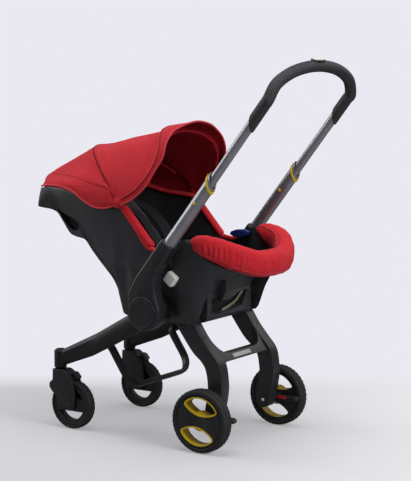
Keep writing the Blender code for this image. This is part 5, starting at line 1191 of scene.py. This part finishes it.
canopy = {
    "pivotBack": -0.105, "pivotHeight": 0.637, "centreHeight": 0.60, "ahead": (0, 0.565, 0.825),
    "cloth": 0.0016, "columns": 97, "parting": 0.0012,
    "lipPlace": 0.22, "lipProud": 0.009, "sag": 0.0010, "bulge": 0.0038, "frontSag": 0.004,
    "rearCrease": 0.0014, "frontCrease": 0.0016, "rearBlend": 0.055, "frontBlend": (0.008, 0.150),
    "corner": (0.1812, -0.1125, 0.6290), "rearSeams": (3, 12, 16, 26), "frontSeams": (2, 14, 22, 30),
    "hem": ((0, -0.4575, 0.652), (0.055, -0.452, 0.650), (0.098, -0.431, 0.651), (0.130, -0.403, 0.655),
            (0.148, -0.372, 0.660), (0.160, -0.330, 0.662), (0.168, -0.292, 0.6575),
            (0.1735, -0.260, 0.6475), (0.1775, -0.233, 0.632), (0.180, -0.195, 0.615),
            (0.181, -0.156, 0.612), (0.181, -0.125, 0.620)),
    "crown": ((0, -0.456, 0.682), (0.040, -0.443, 0.683), (0.080, -0.390, 0.685),
              (0.120, -0.329, 0.6875), (0.150, -0.2717, 0.6847), (0.165, -0.2233, 0.677),
              (0.173, -0.181, 0.669), (0.1785, -0.1387, 0.6617), (0.181, -0.1235, 0.634)),
    "middle": ((0, -0.3000, 0.7655), (0.070, -0.2720, 0.758), (0.120, -0.2260, 0.732),
               (0.155, -0.1780, 0.698), (0.172, -0.1420, 0.667), (0.181, -0.1180, 0.641)),
    "front": ((0, -0.075, 0.811), (0.050, -0.064, 0.808), (0.100, -0.035, 0.796),
              (0.128, -0.0165, 0.775), (0.147, -0.012, 0.750), (0.166, -0.0208, 0.714),
              (0.1795, -0.052, 0.671), (0.1815, -0.106, 0.637)),
    "edge": ((0, 0.018, 0.838), (0.060, 0.015, 0.830), (0.103, 0.0105, 0.814), (0.136, 0.0125, 0.786),
             (0.1505, 0.0115, 0.750), (0.161, -0.008, 0.7145), (0.173, -0.027, 0.6765),
             (0.180, -0.060, 0.6446), (0.1825, -0.100, 0.6235)),
}
canopyPivot = at(0, canopy["pivotBack"], canopy["pivotHeight"])
canopyCentre = at(0, canopy["pivotBack"], canopy["centreHeight"])


def crossLine(name):
    half = canopy[name]
    full = [at(*spot) for spot in reversed(half)] + [at(-spot[0], spot[1], spot[2]) for spot in half[1:]]
    return resample(smoothCurve(full, 8), canopy["columns"])


def clothGrid(lines, perSpan, gaps):
    # columns of points from the first line to the last, kept a little apart from what is beside it
    columns = []
    for k in range(canopy["columns"]):
        column = smoothCurve([line[k] for line in lines], perSpan)
        for end, inner, gap in ((0, 1, gaps[0]), (-1, -2, gaps[1])):
            length = (column[inner] - column[end]).length
            column[end] = column[end].lerp(column[inner], min(gap / length, 0.9))
        columns.append(column)
    return [[column[r] for column in columns] for r in range(len(columns[0]))]


def gridNormal(grid, r, k):
    rows, count = len(grid), len(grid[0])
    around = grid[r][min(k + 1, count - 1)] - grid[r][max(k - 1, 0)]
    ahead = grid[min(r + 1, rows - 1)][k] - grid[max(r - 1, 0)][k]
    normal = around.cross(ahead).normalized()
    return -normal if normal.dot(grid[r][k] - canopyCentre) < 0 else normal


def pressed(grid, push):
    # every point moved along the cloth's normal by push(row share, column share)
    rows, count = len(grid), len(grid[0])
    moved = []
    for r in range(rows):
        moved.append([grid[r][k] + gridNormal(grid, r, k) * push(r / (rows - 1), k / (count - 1))
                      for k in range(count)])
    return moved


def clothSheet(name, grid):
    piece = skin(name, grid, finish["cloth"], wrap=False)
    middle = piece.data.polygons[len(piece.data.polygons) // 2]
    if middle.normal.dot(middle.center - canopyCentre) < 0:
        piece.data.flip_normals()
    piece.data.materials.append(finish["lining"])
    wall = piece.modifiers.new("thickness", "SOLIDIFY")
    wall.thickness = canopy["cloth"]
    wall.offset = -1
    wall.material_offset = 1
    wall.material_offset_rim = 0
    wall.use_even_offset = False
    return bakeModifiers(piece)


def sheetArea(grid):
    total = 0.0
    for low, high in zip(grid, grid[1:]):
        for a, b, c, d in zip(low, low[1:], high[1:], high):
            total += ((b - a).cross(c - a).length + (c - a).cross(d - a).length) / 2
    return total


def piping(name, line, radius, material="piping"):
    return skin(name, sweepRings(line, lambda i: ellipse(radius, radius, 10), lambda i: upward), finish[material],
                sharp=60)


def flatSize(grid):
    width = max(sum((b - a).length for a, b in zip(row, row[1:])) for row in grid)
    length = max(sum((grid[r + 1][k] - grid[r][k]).length for r in range(len(grid) - 1))
                 for k in range(len(grid[0])))
    return width, length


def seamLines(grid, rows):
    return [[grid[r][k] + gridNormal(grid, r, k) * 0.0003 for k in range(2, canopy["columns"] - 2)] for r in rows]


def makeCanopy():
    hem, crown, middle, front, edge = (crossLine(name) for name in ("hem", "crown", "middle", "front", "edge"))
    lip = []
    for seam, rim in zip(front, edge):
        over = (rim - seam).normalized()
        proud = Vector((0, -over.z, over.y)) * canopy["lipProud"] * ease((seam.z - 0.68) / 0.10)
        lip.append(seam.lerp(rim, canopy["lipPlace"]) + proud)

    def rearPush(t, s):
        side = abs(2 * s - 1)
        crease = noise.noise(Vector((s * 26, t * 5, 1.7))) * canopy["rearCrease"] * math.sin(math.pi * t)
        sag = math.sin(math.pi * ((t * 2) % 1.0)) * (canopy["bulge"] if t < 0.5 else -canopy["sag"] * (1 - side))
        return sag + crease

    def frontPush(t, s):
        side = abs(2 * s - 1)
        sag = -canopy["frontSag"] * math.sin(math.pi * min(t / 0.55, 1.0)) * (1 - 0.5 * side)
        crease = noise.noise(Vector((s * 22 + t * 6, t * 4, 5.1))) * canopy["frontCrease"]
        return sag + crease * math.sin(math.pi * min(t / 0.6, 1.0))

    parting, (near, far) = canopy["parting"], canopy["frontBlend"]
    rearGrid = pressed(clothGrid([hem, crown, middle], 14, (0.0, parting)), rearPush)
    rear = clothSheet("canopyRear", rearGrid)
    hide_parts("canopy_rear_panel")
    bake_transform(rear)

    midGrid = clothGrid([middle, front], 16, (parting, 0.0))[:-1]
    grid = pressed(midGrid, frontPush) + clothGrid([front, lip, edge], 8, (0.0, 0.0))
    sheet = clothSheet("canopyFront", grid)
    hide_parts("canopy_mid_panel", "canopy_front_panel")
    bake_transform(sheet)

    rearTrims = [piping(name, rearGrid[row], radius, material) for name, row, radius, material in (
        ("canopyHemPiping", 0, 0.0024, "piping"), ("canopyCrownSeam", 14, 0.0009, "seam"),
        ("canopyMiddleSeam", -1, 0.0010, "seam"))]
    frontTrims = [piping(name, grid[row], radius, material) for name, row, radius, material in (
        ("canopySeamPiping", 16, 0.0016, "piping"), ("canopyLipSeam", 24, 0.0010, "seam"),
        ("canopyEdgePiping", -1, 0.0026, "piping"))]
    for side, sign in sides:  # the cloth's corner over the pivot
        x, back, height = canopy["corner"]
        corner = turnedPiece("canopyCorner_" + side, at(sign * x, back, height), [
            (0, 0), (0, 0.0140), (sign * 0.0008, 0.0146), (sign * 0.0018, 0.0140), (sign * 0.0022, 0)], 40,
            finish["puffCloth"], sharp=60)
        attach(corner, "seat")
    rearTrims.append(stitches("canopyRearStitches", seamLines(rearGrid, canopy["rearSeams"]), "thread"))
    frontTrims.append(stitches("canopyFrontStitches", seamLines(grid, canopy["frontSeams"]), "thread"))
    for trim in rearTrims:
        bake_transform(trim)
    for trim in frontTrims:
        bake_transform(trim)
    flatSize(rearGrid)
    sheetArea(rearGrid)
    flatSize(grid)
    sheetArea(grid)
    print("canopy cloth:", flatSize(rearGrid), sheetArea(rearGrid), flatSize(grid), sheetArea(grid))


makeCanopy()
for node in ("canopy_bow_mid", "canopy_bow_front"):
    nodes[node].data.materials.clear()
    nodes[node].data.materials.append(finish["lining"])
print("canopy made")


# ---- cushions

def voxelCopy(node, name, voxel, material):
    piece = settle(meshOf(nodes[node]), name, material)
    step = piece.modifiers.new("voxels", "REMESH")
    step.mode = "VOXEL"
    step.voxel_size = voxel
    step.use_smooth_shade = True
    return bakeModifiers(piece)


def relax(piece, rounds):
    bm = bmesh.new()
    bm.from_mesh(piece.data)
    for _ in range(rounds):
        bmesh.ops.smooth_vert(bm, verts=bm.verts, factor=0.5, use_axis_x=True, use_axis_y=True, use_axis_z=True)
    bm.to_mesh(piece.data)
    bm.free()


def puff(piece, cap, blocker):
    # air pressure swells the cover, and no point moves further than the cap or into what it rests on
    air = {"pressure": 4, "stiffness": 15, "frames": 20, "reach": 0.03, "resting": 0.004, "held": 0.1,
           "clear": 0.003}
    before = [v.co.copy() for v in piece.data.vertices]
    step = piece.modifiers.new("swell", "CLOTH")
    step.settings.quality = 5
    step.settings.use_pressure = True
    step.settings.uniform_pressure_force = air["pressure"]
    step.settings.effector_weights.gravity = 0
    step.settings.tension_stiffness = air["stiffness"]
    step.settings.compression_stiffness = air["stiffness"]
    step.point_cache.frame_start = 1
    step.point_cache.frame_end = air["frames"]
    for number in range(1, air["frames"] + 1):
        scene.frame_set(number)
    bakeModifiers(piece)
    scene.frame_set(1)
    bm = meshOf(blocker)
    tree = BVHTree.FromBMesh(bm)
    bm.free()
    for vertex, old in zip(piece.data.vertices, before):
        move = vertex.co - old
        if move.length > cap:
            move *= cap / move.length
        spot, normal, _, distance = tree.find_nearest(old, air["reach"])
        if spot is not None:
            if distance < air["resting"]:
                move *= air["held"]
            elif move.length > distance - air["clear"]:
                move *= max(distance - air["clear"], 0) / move.length
        vertex.co = old + move
    return piece


bumper = {  # angles in degrees; seam leans are (outwards, upwards)
    "centre": (0.060, 0.50), "reach": 128, "bins": 88, "gather": 0.0015, "waves": 96, "gatherReach": 58,
    "gatherFade": 30, "crease": 0.0012, "swell": 0.007,
    "piping": (("bumperOuterPiping", (0.80, -0.62), 0.0014), ("bumperInnerPiping", (-0.75, 0.66), 0.0014)),
    "stitchLean": (0.93, -0.38),
}


def finer(piece):
    step = piece.modifiers.new("finer", "SUBSURF")
    step.levels = step.render_levels = 1
    return bakeModifiers(piece)


def bumperSeam(piece, lean, raised):
    # the line on the roll where its surface leans one way
    back, height = bumper["centre"]
    middle = at(0, back, height)
    wanted = Vector((lean[0], lean[1])).normalized()
    best = {}
    for vertex in piece.data.vertices:
        flat = Vector((vertex.co.x, vertex.co.y - middle.y))
        turn = math.degrees(math.atan2(flat.x, flat.y))
        if abs(turn) > bumper["reach"] or flat.length < 0.02:
            continue
        slot = round((turn / bumper["reach"] + 1) / 2 * bumper["bins"])
        outward = flat.normalized()
        leaning = Vector((vertex.normal.x * outward.x + vertex.normal.y * outward.y, vertex.normal.z))
        score = leaning.dot(wanted)
        if slot not in best or score > best[slot][0]:
            best[slot] = (score, vertex.co.copy(), vertex.normal.copy())
    line = [best[k][1] + best[k][2] * raised for k in sorted(best)]
    for _ in range(2):
        line = [line[0]] + [(a + b * 2 + c) / 4 for a, b, c in zip(line, line[1:], line[2:])] + [line[-1]]
    return smoothCurve(line, 3)


def makeBumper():
    piece = voxelCopy("bumper_cushion", "footBumper", 0.0045, finish["puffCloth"])
    relax(piece, 3)
    puff(piece, bumper["swell"], shellPiece)
    finer(piece)
    back, height = bumper["centre"]
    middle = at(0, back, height)
    leans = [vertex.normal.copy() for vertex in piece.data.vertices]
    for vertex, lean in zip(piece.data.vertices, leans):  # short gathers below, soft creases on top
        flat = Vector((vertex.co.x, vertex.co.y - middle.y))
        turn = math.atan2(flat.x, flat.y)
        below = max(0.0, 1 - abs(lean.z + 0.10) / 0.60)
        below *= 1 - ease((abs(math.degrees(turn)) - bumper["gatherReach"]) / bumper["gatherFade"])
        strength = ease(0.35 + 1.6 * noise.noise(vertex.co * 26))
        wave = math.sin(turn * bumper["waves"] + 2.5 * noise.noise(vertex.co * 35))
        crease = noise.noise(Vector((turn * 14, vertex.co.z * 40, 3.0))) * bumper["crease"]
        vertex.co += lean * (wave * bumper["gather"] * below * strength + crease)
    piece.data.shade_smooth()
    standIn(piece, "bumper_cushion")
    for name, lean, radius in bumper["piping"]:
        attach(piping(name, bumperSeam(piece, lean, 0.0002), radius), "seat")
    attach(stitches("bumperStitches", [bumperSeam(piece, bumper["stitchLean"], 0.0003)], "thread"), "seat")


def makeCushions():
    makeBumper()
    for node, name, material, cap in (("back_pad", "newbornInsert", "knit", 0.006),
                                      ("seat_pad", "seatCushion", "darkCloth", 0.005)):
        pad = voxelCopy(node, name, 0.005, finish[material])
        relax(pad, 2)
        puff(pad, cap, shellPiece)
        pad.data.shade_smooth()
        standIn(pad, node)
    edging = {"swell": 0.0024, "first": -0.375, "run": 0.421, "places": 70, "inset": 0.0055,
              "raised": 0.0040, "halfWidth": 0.0085, "narrowing": 0.0035, "halfHeight": 0.0066}
    trim = voxelCopy("rim_trim", "rimTrim", 0.003, finish["puffCloth"])
    relax(trim, 3)
    leans = [vertex.normal.copy() for vertex in trim.data.vertices]
    for vertex, lean in zip(trim.data.vertices, leans):
        vertex.co += lean * edging["swell"]
    trim.data.shade_smooth()
    standIn(trim, "rim_trim")
    rimLine, wideLine = shellLines[1], shellLines[2]

    def section(i):
        return ellipse(edging["halfWidth"] - edging["narrowing"] * ease(1 - i / 40), edging["halfHeight"], 20)

    for side, sign in sides:  # the cover's edge follows the shell's rim down to the bumper
        backs = [edging["first"] + edging["run"] * i / edging["places"] for i in range(edging["places"] + 1)]
        line = [at(sign * (wideLine(back) - edging["inset"]), back, rimLine(back) + edging["raised"])
                for back in backs]
        band = skin("rimBand_" + side, sweepRings(line, section, lambda i: upward), finish["puffCloth"], sharp=60)
        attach(band, "seat")


makeCushions()
for side, sign in sides:
    refined("shoulder_strap_" + side, "shoulderStrap_" + side, "webbing", 0.0008, 2)
print("cushions made")
